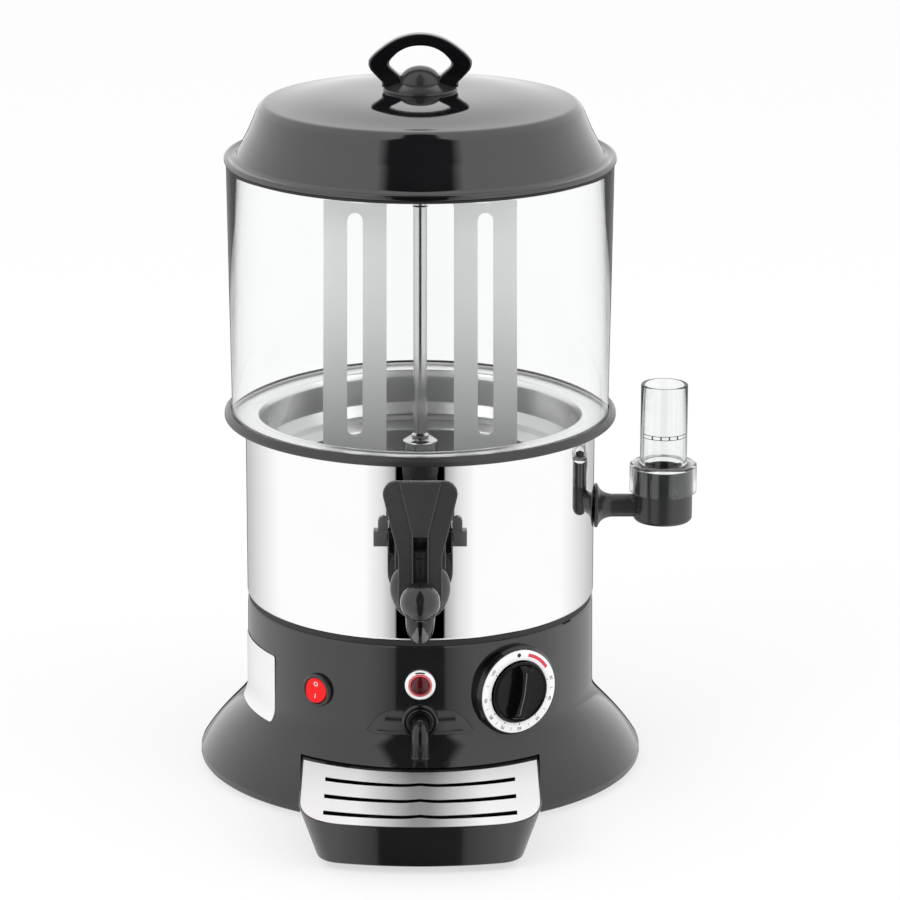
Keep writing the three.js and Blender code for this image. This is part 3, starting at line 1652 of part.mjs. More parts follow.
function drainPipe() {
  const start = spot(0, -drainPipeReach, tankBottom - seatGap);
  const corner = spot(0, -drainPipeReach, drainHeight);
  const end = spot(0, -(drainShankBack - seatGap), drainHeight);
  return swept(elbow(start, corner, end, spoutBend), spoutRadius, smallSides, arcSides);
}

function cableGland() {
  const dome = wallFace + glandLength / 3;
  return turnedForward(
    [
      at(glandBore, seatRingInner),
      at(glandShankRadius, seatRingInner),
      at(glandShankRadius, wallFace),
      at(glandRadius, wallFace),
      at(glandRadius, dome),
      at(glandShankRadius, dome + overrun),
      at(glandShankRadius, wallFace + glandLength),
      at(glandBore, wallFace + glandLength),
    ],
    fittingSides,
  );
}

// The tray's outline: straight sides, rounded front corners, and arcs about the machine's axis
function trayOutline(halfWidth, front, rear, corner, cornerReach) {
  const sideFront = Math.sqrt(front * front - halfWidth * halfWidth);
  const meet = halfWidth - cornerReach;
  const lean = Math.asin(meet / front);
  const rearLean = Math.asin(halfWidth / rear);
  const meetFront = front * Math.cos(lean);
  return new THREE.Shape()
    .moveTo(-halfWidth, -rear * Math.cos(rearLean))
    .lineTo(-halfWidth, corner - sideFront)
    .quadraticCurveTo(-halfWidth, -sideFront, -meet, -meetFront)
    .absarc(0, 0, front, -lean - Math.PI / 2, lean - Math.PI / 2, false)
    .quadraticCurveTo(halfWidth, -sideFront, halfWidth, corner - sideFront)
    .lineTo(halfWidth, -rear * Math.cos(rearLean))
    .absarc(0, 0, rear, rearLean - Math.PI / 2, -rearLean - Math.PI / 2, true);
}

// The same outline drawn in by an even margin
const inset = (margin, rear) =>
  trayOutline(trayHalfWidth - margin, trayFront - margin, rear, trayCorner, trayCornerReach);
const footInset = (margin, rear) =>
  trayOutline(trayFootHalfWidth - margin, trayFootFront - margin, rear, trayFootCorner, trayFootCornerReach);
const outlinePoints = (shape) => {
  const all = shape.getPoints(cornerSides);
  const points = all.filter((point, i) => point.distanceTo(all[(i + 1) % all.length]) > seatGap);
  return THREE.ShapeUtils.area(points) > 0 ? points : points.reverse();
};

const trayFoot = basePlateThickness + seatGap;
const grilleSeat = trayTop - grilleRecess;
function dripTray() {
  const body = lofted(
    outlinePoints(footInset(0, trayRear)),
    outlinePoints(inset(0, trayRear)),
    trayFoot,
    trayTop,
  );
  const basinRear = grilleRear + trayLedge;
  const basin = lofted(
    outlinePoints(footInset(trayWall, basinRear)),
    outlinePoints(inset(trayRim + trayLedge, basinRear)),
    trayFoot + trayFloor,
    grilleSeat + overrun,
  );
  const recess = plan(inset(trayRim, grilleRear - seatGap), grilleSeat, trayTop + overrun, cornerSides);
  return cut(body, basin, recess);
}

// One row of the grille: an arc about the axis that rises to a small cusp in the middle
function grilleSlot(radius) {
  const steps = arcSides * 2;
  const points = [];
  const edge = (offset, i) => {
    const across = grilleSlotHalfLength * ((2 * i) / steps - 1);
    const near = Math.max(0, 1 - Math.abs(across) / grilleSlotCuspReach);
    return at(across, grilleSlotCusp * near - Math.sqrt(radius * radius - across * across) + offset);
  };
  for (let i = 0; i <= steps; i += 1) points.push(edge(-grilleSlotWidth / 2, i));
  for (let i = steps; i >= 0; i -= 1) points.push(edge(grilleSlotWidth / 2, i));
  return new THREE.Path(points);
}

function trayGrille() {
  const sheet = inset(trayRim + seatGap, grilleRear);
  grilleSlotOffsets.forEach((offset) => sheet.holes.push(grilleSlot(grilleRear + offset)));
  return plan(sheet, grilleSeat, grilleSeat + grilleThickness, cornerSides);
}

// Groups that turn a fitting to its azimuth and lift it to its height
function station(azimuth, height, ...meshes) {
  const group = new THREE.Group();
  group.rotation.z = azimuth;
  group.position.z = height;
  group.add(...meshes);
  return group;
}

function feet() {
  const places = [
    ["foot_front_left", -1, -1],
    ["foot_front_right", 1, -1],
    ["foot_rear_left", -1, 1],
    ["foot_rear_right", 1, 1],
  ];
  return places.map(([name, x, y]) => {
    const mesh = piece(name, foot(), sealBlack);
    mesh.position.set(x * footRingRadius * Math.SQRT1_2, y * footRingRadius * Math.SQRT1_2, 0);
    return mesh;
  });
}

function thermalCutout() {
  const mesh = piece("thermal_cutout", bar(cutoutRadius, -cutoutHeight, 0, smallSides), fittingBlack);
  mesh.position.set(cutoutReach, 0, tankBottom);
  return mesh;
}

const dispenser = new THREE.Group();
dispenser.name = "hot_chocolate_dispenser";
dispenser.add(
  piece("base_shell", baseShell(), baseBlack),
  piece("base_plate", basePlate(), brushedSteel),
  ...feet(),
  piece("seam_ring", seamRing(), sealBlack),
  piece("water_tank", waterTank(), mirrorSteel),
  piece("standpipe", standpipe(), brushedSteel),
  piece("shaft_seal", shaftSeal(), sealBlack),
  piece("inner_pot", innerPot(), brushedSteel),
  piece("trim_ring", trimRing(), baseBlack),
  piece("bowl_gasket", bowlGasket(), sealBlack),
  piece("clear_bowl", bowl(), clear(0.25)),
  piece("lid_seal", lidSeal(), sealBlack),
  piece("lid_shell", lidShell(), lidBlack),
  piece("lid_knob", lidKnob(), lidBlack),
  piece("lid_screw", lidScrew(), brushedSteel),
  piece("motor_bracket", motorBracket(), brushedSteel),
  piece("gearbox", gearbox(), motorGrey),
  piece("drive_motor", driveMotor(), motorGrey),
  piece("drive_shaft", driveShaft(), brushedSteel),
  piece("stirrer_hub", stirrerHub(), brushedSteel),
  piece("stirrer_shaft", stirrerShaft(), brushedSteel),
  piece("stirrer_paddle_left", paddle(-1), brushedSteel),
  piece("stirrer_paddle_right", paddle(1), brushedSteel),
  piece("stirrer_collar", stirrerCollar(), fittingBlack),
  piece("stirrer_crossbar", stirrerCrossbar(), brushedSteel),
  piece("stirrer_cap", stirrerCap(), fittingBlack),
  piece("heating_element", heatingElement(), brushedSteel),
  thermalCutout(),
  piece("terminal_block", terminalBlock(), labelWhite),
  piece("drain_pipe", drainPipe(), sealBlack),
  piece("tap_body", tapBody(), fittingBlack),
  piece("tap_gasket", tapGasket(), sealBlack),
  piece("tap_sleeve", tapSleeve(), sealBlack),
  piece("tap_nut", tapNut(), brass),
  piece("tap_cap", tapCap(), fittingBlack),
  piece("tap_plunger", tapPlunger(), fittingBlack),
  piece("tap_spring", tapSpring(), brushedSteel),
  piece("tap_pin", tapPin(), fittingBlack),
  piece("tap_lever", tapLever(), fittingBlack),
  piece("tap_ball", tapBall(), fittingBlack),
  piece("drip_tray", dripTray(), baseBlack),
  piece("tray_grille", trayGrille(), brushedSteel),
  station(
    Math.PI / 2,
    0,
    piece("gauge_cup", gaugeCup(), fittingBlack),
    piece("gauge_nut", gaugeNut(), brass),
    piece("gauge_tube", gaugeTube(), clear(0.3)),
  ),
  station(
    dialAzimuth,
    dialHeight,
    piece("dial_bezel", dialBezel(), baseBlack),
    piece("dial_scale_ring", dialScaleRing(), labelWhite),
    piece("dial_knob", dialKnob(), fittingBlack),
    piece("thermostat_spindle", thermostatSpindle(), brushedSteel),
    piece("thermostat_body", thermostatBody(), labelWhite),
  ),
  station(
    rockerAzimuth,
    rockerHeight,
    piece("switch_housing", switchHousing(), fittingBlack),
    piece("power_rocker", powerRocker(), signalRed),
  ),
  station(0, lampHeight, piece("lamp_bezel", lampBezel(), labelWhite), piece("lamp_lens", lampLens(), lensRed)),
  station(
    0,
    drainHeight,
    piece("drain_body", drainBody(), fittingBlack),
    piece("drain_spout", drainSpout(), fittingBlack),
  ),
  station(Math.PI, glandHeight, piece("cable_gland", cableGland(), sealBlack)),
);

export default dispenser;
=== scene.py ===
"""Visual model of a countertop hot chocolate dispenser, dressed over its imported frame."""

import logging
import math
from abc import ABC, abstractmethod
from dataclasses import dataclass, field
from enum import Enum
from typing import ClassVar, Sequence

import bpy
from mathutils import Matrix, Vector


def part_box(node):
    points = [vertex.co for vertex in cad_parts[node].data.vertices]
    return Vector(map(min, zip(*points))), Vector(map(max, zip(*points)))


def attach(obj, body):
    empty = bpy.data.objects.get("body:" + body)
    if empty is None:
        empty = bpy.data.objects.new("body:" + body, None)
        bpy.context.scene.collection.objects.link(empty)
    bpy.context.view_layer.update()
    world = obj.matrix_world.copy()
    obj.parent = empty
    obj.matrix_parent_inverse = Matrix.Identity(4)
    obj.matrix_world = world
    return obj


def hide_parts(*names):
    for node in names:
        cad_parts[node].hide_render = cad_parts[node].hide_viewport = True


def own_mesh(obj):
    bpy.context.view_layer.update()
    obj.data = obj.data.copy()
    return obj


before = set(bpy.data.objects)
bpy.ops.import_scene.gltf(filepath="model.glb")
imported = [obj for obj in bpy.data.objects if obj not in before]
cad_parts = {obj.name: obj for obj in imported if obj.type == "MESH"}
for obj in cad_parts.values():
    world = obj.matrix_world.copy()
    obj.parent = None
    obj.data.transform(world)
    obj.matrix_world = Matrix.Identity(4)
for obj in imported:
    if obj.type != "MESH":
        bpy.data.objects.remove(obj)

MM = 0.001
TURN = 2 * math.pi
SMOOTH = 32.0
HERE = Matrix.Identity(4)
Point = tuple[float, float]
Corner = tuple[float, float, float]
Colour = tuple[float, float, float]
Piece = bpy.types.Object
Node = bpy.types.Node
Socket = bpy.types.NodeSocket
LOG = logging.getLogger("dispenser")


class Body(Enum):
    """The moving bodies that pieces ride on."""

    MACHINE = "machine"
    LID = "lid"
    STIRRER = "stirrer"
    HANDLE = "tap_handle"
    DIAL = "dial"
    ROCKER = "rocker"
    TRAY = "tray"
    GRILLE = "grille"
    SPOUT = "spout"


class Slot(Enum):
    """The record's material slots, passed with each new piece."""

    BODY_BLACK = "body_black"
    LID_BLACK = "lid_black"
    FITTING_BLACK = "fitting_black"
    MIRROR_STEEL = "mirror_steel"
    STEEL = "steel"
    RUBBER = "seal_rubber"
    WHITE = "label_white"
    RED = "signal_red"
    LENS = "lens_red"
    CLEAR = "clear_plastic"


def rounded(corners: Sequence[Corner], closed: bool = True, steps: int = 5) -> list[Point]:
    """Round the corners of a chain of straight lines.

    Args:
        corners: Corner points in millimetres, each with the radius it gets.
        closed: Whether the last corner joins the first.
        steps: Number of segments on each rounded corner.

    Returns:
        The points of the rounded chain.
    """
    points: list[Point] = []
    count = len(corners)
    longest_share = 0.48
    for index, (x, y, radius) in enumerate(corners):
        at_end = not closed and index in (0, count - 1)
        if radius <= 0 or at_end:
            points.append((x, y))
            continue
        here = Vector((x, y))
        before = Vector(corners[index - 1][:2]) - here
        after = Vector(corners[(index + 1) % count][:2]) - here
        half = before.angle(after) / 2
        reach = min(radius / math.tan(half), longest_share * before.length, longest_share * after.length)
        start = here + before.normalized() * reach
        end = here + after.normalized() * reach
        weight = math.sin(half)
        for step in range(steps + 1):
            t = step / steps
            a, b, c = (1 - t) ** 2, 2 * weight * t * (1 - t), t * t
            spot = (start * a + here * b + end * c) / (a + b + c)
            points.append((spot.x, spot.y))
    return points


def oblong(
    left: float, low: float, right: float, high: float, radius: float = 0.0, steps: int = 5,
) -> list[Point]:
    """A rectangle's outline, each corner rounded by a radius."""
    corners = ((left, low), (right, low), (right, high), (left, high))
    return rounded([(*spot, radius) for spot in corners], steps=steps)


def bezier(controls: Sequence[Point], steps: int) -> list[Point]:
    """Sample a Bezier curve of any order.

    Args:
        controls: Control points in millimetres.
        steps: Number of segments.

    Returns:
        The points along the curve, both ends included.
    """
    order = len(controls) - 1
    points = []
    for step in range(steps + 1):
        t = step / steps
        shares = [math.comb(order, i) * t**i * (1 - t) ** (order - i) for i in range(order + 1)]
        points.append(tuple(sum(s * p[axis] for s, p in zip(shares, controls)) for axis in (0, 1)))
    return points


def arc(centre: Point, radius: float, start: float, end: float, steps: int) -> list[Point]:
    """Sample a circular arc from one angle to another, in degrees."""
    angles = [math.radians(start + (end - start) * i / steps) for i in range(steps + 1)]
    return [(centre[0] + radius * math.cos(a), centre[1] + radius * math.sin(a)) for a in angles]


def smooth_loop(points: Sequence[Point], steps: int = 4) -> list[Point]:
    """Run a closed Catmull-Rom curve through points.

    Args:
        points: Points in millimetres, in order round the loop.
        steps: Number of segments between two points.

    Returns:
        The points of the smooth loop.
    """
    count = len(points)
    made: list[Point] = []
    for i in range(count):
        p0, p1, p2, p3 = (Vector(points[(i + k - 1) % count]) for k in range(4))
        slope, bow, twist = p2 - p0, 2 * p0 - 5 * p1 + 4 * p2 - p3, 3 * p1 - p0 - 3 * p2 + p3
        for t in (step / steps for step in range(steps)):
            spot = 0.5 * (2 * p1 + slope * t + bow * t * t + twist * t**3)
            made.append((spot.x, spot.y))
    return made


def sideways() -> Matrix:
    """The place of an outline of forward distance and height, whose thickness runs across."""
    return Matrix(((0, 0, -1, 0), (-1, 0, 0, 0), (0, 1, 0, 0), (0, 0, 0, 1)))


def shifted(x: float, y: float, z: float) -> Matrix:
    """A move in millimetres."""
    return Matrix.Translation((x * MM, y * MM, z * MM))


def tilted(angle: float, axis: str) -> Matrix:
    """A turn in degrees about an axis."""
    return Matrix.Rotation(math.radians(angle), 4, axis)


def station(azimuth: float = 0.0, height: float = 0.0) -> Matrix:
    """The place of a fitting, its axis pointing outwards, at degrees to the right of the front."""
    return shifted(0, 0, height) @ tilted(azimuth, "Z") @ tilted(90, "X")


class Bench:
    """Modelling moves made with Blender's own tools.

    Lengths are in millimetres and places in metres. An angle is the one, in degrees, up to which an
    edge is shaded smooth. Points closer than a weld distance, in metres, become one.
    """

    FINE_WELD: ClassVar[float] = 1e-7
    WELD: ClassVar[float] = 1e-6
    FRAME_WELD: ClassVar[float] = 2e-6
    SOFT: ClassVar[float] = 40.0

    @staticmethod
    def clear() -> None:
        """Leave edit mode and deselect everything."""
        if bpy.context.object and bpy.context.object.mode != "OBJECT":
            bpy.ops.object.mode_set(mode="OBJECT")
        bpy.ops.object.select_all(action="DESELECT")

    @classmethod
    def pick(cls, piece: Piece, *others: Piece) -> None:
        """Select pieces and make the first one active.

        Args:
            piece: The piece that becomes active.
            others: Further pieces to select.
        """
        cls.clear()
        for each in (*others, piece):
            each.select_set(True)
        bpy.context.view_layer.objects.active = piece

    @classmethod
    def edit(cls, piece: Piece) -> None:
        """Open a piece in edit mode with all of it selected.

        Args:
            piece: The piece.
        """
        cls.pick(piece)
        bpy.ops.object.mode_set(mode="EDIT")
        bpy.ops.mesh.select_all(action="SELECT")

    @classmethod
    def wire(cls, name: str, spots: Sequence[Sequence[float]], closed: bool) -> Piece:
        """Draw a chain of edges by extruding one vertex from spot to spot.

        Args:
            name: The piece's name.
            spots: Places in millimetres.
            closed: Whether the chain returns to its first spot.

        Returns:
            The piece, left in edit mode with all of it selected.
        """
        cls.clear()
        bpy.ops.mesh.primitive_plane_add(size=MM)
        piece = bpy.context.object
        piece.name = piece.data.name = name
        cls.edit(piece)
        bpy.ops.mesh.merge(type="CENTER")
        places = [Vector(spot) * MM for spot in spots]
        bpy.ops.transform.translate(value=places[0])
        chain = places + places[:1] if closed else places
        for here, there in zip(chain, chain[1:]):
            bpy.ops.mesh.extrude_region_move(TRANSFORM_OT_translate={"value": there - here})
        bpy.ops.mesh.select_all(action="SELECT")
        bpy.ops.mesh.remove_doubles(threshold=cls.FINE_WELD)
        return piece

    @classmethod
    def face(cls, name: str, outline: Sequence[Point], level: float) -> Piece:
        """Draw a closed outline and fill it.

        Args:
            name: The piece's name.
            outline: Points of the outline.
            level: Its height.

        Returns:
            The piece, left in edit mode.
        """
        piece = cls.wire(name, [(x, y, level) for x, y in outline], closed=True)
        bpy.ops.mesh.edge_face_add()
        return piece

    @classmethod
    def settle(cls, piece: Piece, place: Matrix, angle: float) -> Piece:
        """Point a piece's faces outwards, put it in its place and set its shading.

        Args:
            piece: The piece.
            place: Where it goes.
            angle: The smooth angle.

        Returns:
            The piece, with its place in its mesh.
        """
        cls.edit(piece)
        bpy.ops.mesh.remove_doubles(threshold=cls.WELD)
        bpy.ops.mesh.normals_make_consistent(inside=False)
        bpy.ops.object.mode_set(mode="OBJECT")
        piece.matrix_world = place
        bpy.ops.object.transform_apply(location=True, rotation=True, scale=True)
        bpy.ops.object.shade_smooth_by_angle(angle=math.radians(angle))
        return piece

    @classmethod
    def turned(
        cls, name: str, profile: Sequence[Point], place: Matrix = HERE, segments: int = 96,
        angle: float = SMOOTH,
    ) -> Piece:
        """Spin a profile of radius and height all the way round.

        Args:
            name: The piece's name.
            profile: Radius and height pairs. It starts and ends on the axis, or closes on itself.
            place: Where the piece goes.
            segments: Number of flats round the piece.
            angle: The smooth angle.

        Returns:
            The finished piece.
        """
        on_axis = profile[0][0] == 0 and profile[-1][0] == 0
        piece = cls.wire(name, [(r, 0, z) for r, z in profile], closed=not on_axis)
        bpy.ops.mesh.spin(steps=segments, angle=TURN, center=(0, 0, 0), axis=(0, 0, 1))
        return cls.settle(piece, place, angle)

    @classmethod
    def slab(cls, name: str, outline: Sequence[Point], low: float, high: float, place: Matrix = HERE) -> Piece:
        """Fill a closed outline and extrude it.

        Args:
            name: The piece's name.
            outline: Points of the outline.
            low: Where the extrusion starts.
            high: Where it ends.
            place: Where the piece goes.

        Returns:
            The finished piece.
        """
        piece = cls.face(name, outline, low)
        bpy.ops.mesh.extrude_region_move(TRANSFORM_OT_translate={"value": (0, 0, (high - low) * MM)})
        return cls.settle(piece, place, SMOOTH)

    @classmethod
    def lofted(
        cls, name: str, lower: Sequence[Point], upper: Sequence[Point], low: float, high: float,
    ) -> Piece:
        """Bridge two outlines of equal point counts and fill both ends.

        Args:
            name: The piece's name.
            lower: The outline at the lower height.
            upper: The outline at the upper height.
            low: The lower height.
            high: The upper height.

        Returns:
            The finished piece.
        """
        foot = cls.face(name + "_foot", lower, low)
        piece = cls.face(name, upper, high)
        cls.joined(piece, foot)
        bpy.ops.object.mode_set(mode="EDIT")
        bpy.ops.mesh.select_mode(type="EDGE")
        bpy.ops.mesh.select_all(action="SELECT")
        bpy.ops.mesh.bridge_edge_loops()
        bpy.ops.mesh.select_mode(type="VERT")
        return cls.settle(piece, HERE, SMOOTH)

    @classmethod
    def swept(
        cls, name: str, path: Sequence[Sequence[float]], radius: float, place: Matrix, detail: int,
    ) -> Piece:
        """Make a round bar along a smooth path.

        Args:
            name: The piece's name.
            path: Places in millimetres.
            radius: The bar's radius.
            place: Where the piece goes.
            detail: How finely the bar is rounded.

        Returns:
            The finished piece.
        """
        cls.clear()
        curve = bpy.data.curves.new(name, "CURVE")
        curve.dimensions = "3D"
        curve.bevel_depth = radius * MM
        curve.bevel_resolution = detail
        curve.use_fill_caps = True
        line = curve.splines.new("POLY")
        line.points.add(len(path) - 1)
        for knot, spot in zip(line.points, path):
            knot.co = (*(Vector(spot) * MM), 1)
        piece = bpy.data.objects.new(name, curve)
        bpy.context.scene.collection.objects.link(piece)
        cls.pick(piece)
        bpy.ops.object.convert(target="MESH")
        return cls.settle(bpy.context.object, place, cls.SOFT)

    @classmethod
    def modify(cls, piece: Piece, kind: str, **settings: object) -> None:
        """Add a modifier with its settings and apply it.

        Args:
            piece: The piece.
            kind: The modifier's type.
            settings: Its properties.
        """
        cls.pick(piece)
        bpy.ops.object.modifier_add(type=kind)
        modifier = piece.modifiers[-1]
        for key, value in settings.items():
            setattr(modifier, key, value)
        bpy.ops.object.modifier_apply(modifier=modifier.name)

    @classmethod
    def combine(cls, piece: Piece, operation: str, others: Sequence[Piece], angle: float) -> Piece:
        """Apply one boolean modifier for each other shape, then remove that shape.

        Args:
            piece: The piece.
            operation: The boolean operation.
            others: The other shapes.
            angle: The smooth angle.

        Returns:
            The same piece.
        """
        for other in others:
            cls.modify(piece, "BOOLEAN", operation=operation, solver="EXACT", object=other)
            bpy.data.objects.remove(other, do_unlink=True)
        cls.pick(piece)
        bpy.ops.object.shade_smooth_by_angle(angle=math.radians(angle))
        return piece

    @classmethod
    def cut(cls, piece: Piece, *tools: Piece, angle: float = SMOOTH) -> Piece:
        """Cut tools out of a piece and throw them away."""
        return cls.combine(piece, "DIFFERENCE", tools, angle)

    @classmethod
    def fuse(cls, piece: Piece, *parts: Piece) -> Piece:
        """Fuse parts into a piece."""
        return cls.combine(piece, "UNION", parts, SMOOTH)

    @classmethod
    def within(cls, piece: Piece, *limits: Piece) -> Piece:
        """Keep only what lies inside the limits."""
        return cls.combine(piece, "INTERSECT", limits, SMOOTH)

    @classmethod
    def soften(cls, piece: Piece, width: float, segments: int = 3, angle: float = 34.0) -> Piece:
        """Round a piece's sharp edges with a bevel.

        Args:
            piece: The piece.
            width: The bevel's width.
            segments: Number of segments across the bevel.
            angle: Degrees above which an edge is rounded.

        Returns:
            The same piece.
        """
        limit = math.radians(angle)
        cls.modify(piece, "BEVEL", width=width * MM, segments=segments, limit_method="ANGLE", angle_limit=limit)
        bpy.ops.object.shade_smooth_by_angle(angle=math.radians(cls.SOFT))
        return piece

    @classmethod
    def refined(cls, node: str, name: str, width: float) -> Piece:
        """Copy a frame node, merge its triangles and round its edges.

        Args:
            node: The node.
            name: The copy's name.
            width: Width of the rounded edges.

        Returns:
            The copy.
        """
        cls.clear()
        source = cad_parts[node]
        piece = bpy.data.objects.new(name, source.data.copy())
        piece.data.name = name
        piece.data.materials.clear()
        bpy.context.scene.collection.objects.link(piece)
        cls.edit(piece)
        bpy.ops.mesh.remove_doubles(threshold=cls.FRAME_WELD)
        bpy.ops.mesh.dissolve_limited(angle_limit=math.radians(1.0))
        bpy.ops.mesh.normals_make_consistent(inside=False)
        bpy.ops.object.mode_set(mode="OBJECT")
        return cls.soften(piece, width, segments=2, angle=40.0)

    @classmethod
    def joined(cls, piece: Piece, *others: Piece, name: str = "") -> Piece:
        """Put several closed shapes into one piece.

        Args:
            piece: The piece that stays.
            others: The shapes that go into it.
            name: Its new name, if it gets one.

        Returns:
            The piece.
        """
        cls.pick(piece, *others)
        bpy.ops.object.join()
        piece.name = name or piece.name
        return piece

    @classmethod
    def lettering(cls, name: str, text: str, size: float, depth: float, place: Matrix) -> Piece:
        """Make raised plain figures.

        Args:
            name: The piece's name.
            text: The figures.
            size: Their height.
            depth: Their thickness.
            place: Where the middle of their back goes.

        Returns:
            The finished piece.
        """
        cls.clear()
        bpy.ops.object.text_add()
        piece = bpy.context.object
        piece.name = name
        piece.data.body = text
        piece.data.size = size * MM
        piece.data.extrude = depth * MM / 2
        piece.data.align_x = piece.data.align_y = "CENTER"
        bpy.ops.object.convert(target="MESH")
        return cls.settle(bpy.context.object, place, 20.0)


class Graph:
    """A small hand for building shader nodes. A value is a socket or a plain number or colour."""

    def __init__(self, tree: bpy.types.NodeTree) -> None:
        """Take a node tree to build in."""
        self.tree = tree

    @classmethod
    def fresh(cls, holder: bpy.types.Material | bpy.types.World) -> "Graph":
        """An empty graph for a material or a world.

        Args:
            holder: The material or world.

        Returns:
            The graph.
        """
        holder.use_nodes = True
        holder.node_tree.nodes.clear()
        return cls(holder.node_tree)

    def feed(self, node: Node, values: dict[str | int, object]) -> None:
        """Give a node's inputs their values.

        Args:
            node: The node.
            values: A value for each input, by its label or number.
        """
        for key, value in values.items():
            if isinstance(value, Socket):
                self.tree.links.new(value, node.inputs[key])
            else:
                node.inputs[key].default_value = value

    def node(self, kind: str, values: dict[str | int, object] | None = None, **settings: object) -> Node:
        """Add a shader node.

        Args:
            kind: The node's type, without the words that all types start with.
            values: Values for its inputs.
            settings: Its properties.

        Returns:
            The node.
        """
        made = self.tree.nodes.new("ShaderNode" + kind)
        for key, value in settings.items():
            setattr(made, key, value)
        self.feed(made, values or {})
        return made

    def math(self, operation: str, *values: Socket | float) -> Socket:
        """Work out a value from one or two others."""
        return self.node("Math", dict(enumerate(values)), operation=operation).outputs["Value"]

    def noise(self, vector: Socket, scale: Socket, detail: float = 2.0) -> Socket:
        """A noise of a given scale."""
        return self.node("TexNoise", {"Vector": vector, "Scale": scale, "Detail": detail}).outputs["Fac"]

    def spread(self, value: Socket, source: Point, target: Sequence[Socket | float]) -> Socket:
        """Carry a value from one range to another, held at the ends."""
        ends = dict(zip(("From Min", "From Max", "To Min", "To Max"), (*source, *target)))
        return self.node("MapRange", {"Value": value, **ends}, clamp=True).outputs["Result"]

    def blend(self, share: Socket | float, first: object, second: object, **settings: object) -> Socket:
        """Mix two colours."""
        return self.node("Mix", {0: share, 6: first, 7: second}, data_type="RGBA", **settings).outputs[2]

    def either(self, share: Socket, first: Node, second: Node) -> Node:
        """Show a first shader, and a second one for a share."""
        return self.node("MixShader", {"Fac": share, 1: first.outputs[0], 2: second.outputs[0]})

    def ramp(self, value: Socket, stops: Sequence[Point]) -> Socket:
        """Read a grey from a row of stops.

        Args:
            value: The place along the row, from 0 to 1.
            stops: Places with their greys.

        Returns:
            The socket that gives the grey.
        """
        node = self.node("ValToRGB", {"Fac": value})
        for index, (place, grey) in enumerate(stops):
            held = node.color_ramp.elements
            stop = held[index] if index < 2 else held.new(place)
            stop.position = place
            stop.color = (grey, grey, grey, 1)
        return node.outputs["Color"]


class Effect(ABC):
    """A shader group that several finishes use."""

    title: ClassVar[str]
    numbers: ClassVar[dict[str, float]]
    outputs: ClassVar[tuple[str, ...]] = ("Height",)

    @classmethod
    def tree(cls) -> bpy.types.NodeTree:
        """The group's tree, built once.

        Returns:
            The node tree.
        """
        known = bpy.data.node_groups.get(cls.title)
        if known:
            return known
        tree = bpy.data.node_groups.new(cls.title, "ShaderNodeTree")
        tree.interface.new_socket("Vector", in_out="INPUT", socket_type="NodeSocketVector")
        for label, value in cls.numbers.items():
            socket = tree.interface.new_socket(label, in_out="INPUT", socket_type="NodeSocketFloat")
            socket.default_value = value
        for label in cls.outputs:
            tree.interface.new_socket(label, in_out="OUTPUT", socket_type="NodeSocketFloat")
        graph = Graph(tree)
        given = tree.nodes.new("NodeGroupInput").outputs
        made = cls.work(graph, given["Vector"], *[given[label] for label in cls.numbers])
        graph.feed(tree.nodes.new("NodeGroupOutput"), dict(zip(cls.outputs, made)))
        return tree

    @classmethod
    @abstractmethod
    def work(cls, graph: Graph, vector: Socket, *numbers: Socket) -> Sequence[Socket]:
        """Build the group's nodes from its inputs and give the sockets that it puts out."""

    @classmethod
    def place(cls, graph: Graph, vector: Socket, **numbers: float) -> bpy.types.NodeOutputs:
        """Put the group in a material, with its own values, and give its outputs."""
        return graph.node("Group", {"Vector": vector, **numbers}, node_tree=cls.tree()).outputs


class Grain(Effect):
    """Fine uneven surface of moulded material."""

    title = "fine_grain"
    numbers = {"Scale": 400.0}

    @classmethod
    def work(cls, graph: Graph, vector: Socket, *numbers: Socket) -> Sequence[Socket]:
        """Build one noise of the given scale."""
        return [graph.noise(vector, numbers[0], 3.0)]


class Cloud(Effect):
    """Slow variation between two values, as handling and cleaning leave."""

    title = "soft_variation"
    numbers = {"Scale": 14.0, "Low": 0.2, "High": 0.3}
    outputs = ("Value", "Mask")

    @classmethod
    def work(cls, graph: Graph, vector: Socket, *numbers: Socket) -> Sequence[Socket]:
        """Build a soft noise and spread it over the range."""
        noise, middle = graph.noise(vector, numbers[0], 4.0), (0.3, 0.7)
        return [graph.spread(noise, middle, numbers[1:]), graph.spread(noise, middle, (0.0, 1.0))]


class RingLines(Effect):
    """Fine lines that run round the machine's axis, as spinning and polishing leave."""

    title = "ring_lines"
    numbers = {"Scale": 900.0}

    @classmethod
    def work(cls, graph: Graph, vector: Socket, *numbers: Socket) -> Sequence[Socket]:
        """Build a noise over radius and height alone.

        Args:
            graph: The group's graph.
            vector: The coordinates that the lines follow.
            numbers: The lines' scale.

        Returns:
            The height.
        """
        parts = graph.node("SeparateXYZ", {"Vector": vector}).outputs
        flat = graph.node("CombineXYZ", {"X": parts["X"], "Y": parts["Y"]}).outputs["Vector"]
        radius = graph.node("VectorMath", {0: flat}, operation="LENGTH").outputs["Value"]
        polar = graph.node("CombineXYZ", {"X": radius, "Z": parts["Z"]}).outputs["Vector"]
        return [graph.noise(polar, numbers[0])]


class StraightLines(Effect):
    """Fine straight lines of ground sheet, along X."""

    title = "straight_lines"
    numbers = {"Scale": 30.0}

    @classmethod
    def work(cls, graph: Graph, vector: Socket, *numbers: Socket) -> Sequence[Socket]:
        """Build a noise that is drawn out along X."""
        drawn = graph.node("Mapping", {"Vector": vector, "Scale": (0.6, 40.0, 40.0)}).outputs["Vector"]
        return [graph.noise(drawn, numbers[0])]


@dataclass(frozen=True)
class Surface:
    """The nodes that a finish works on: graph, Principled shader, output and the piece's coordinates."""

    graph: Graph
    shader: Node
    out: Node
    where: Socket


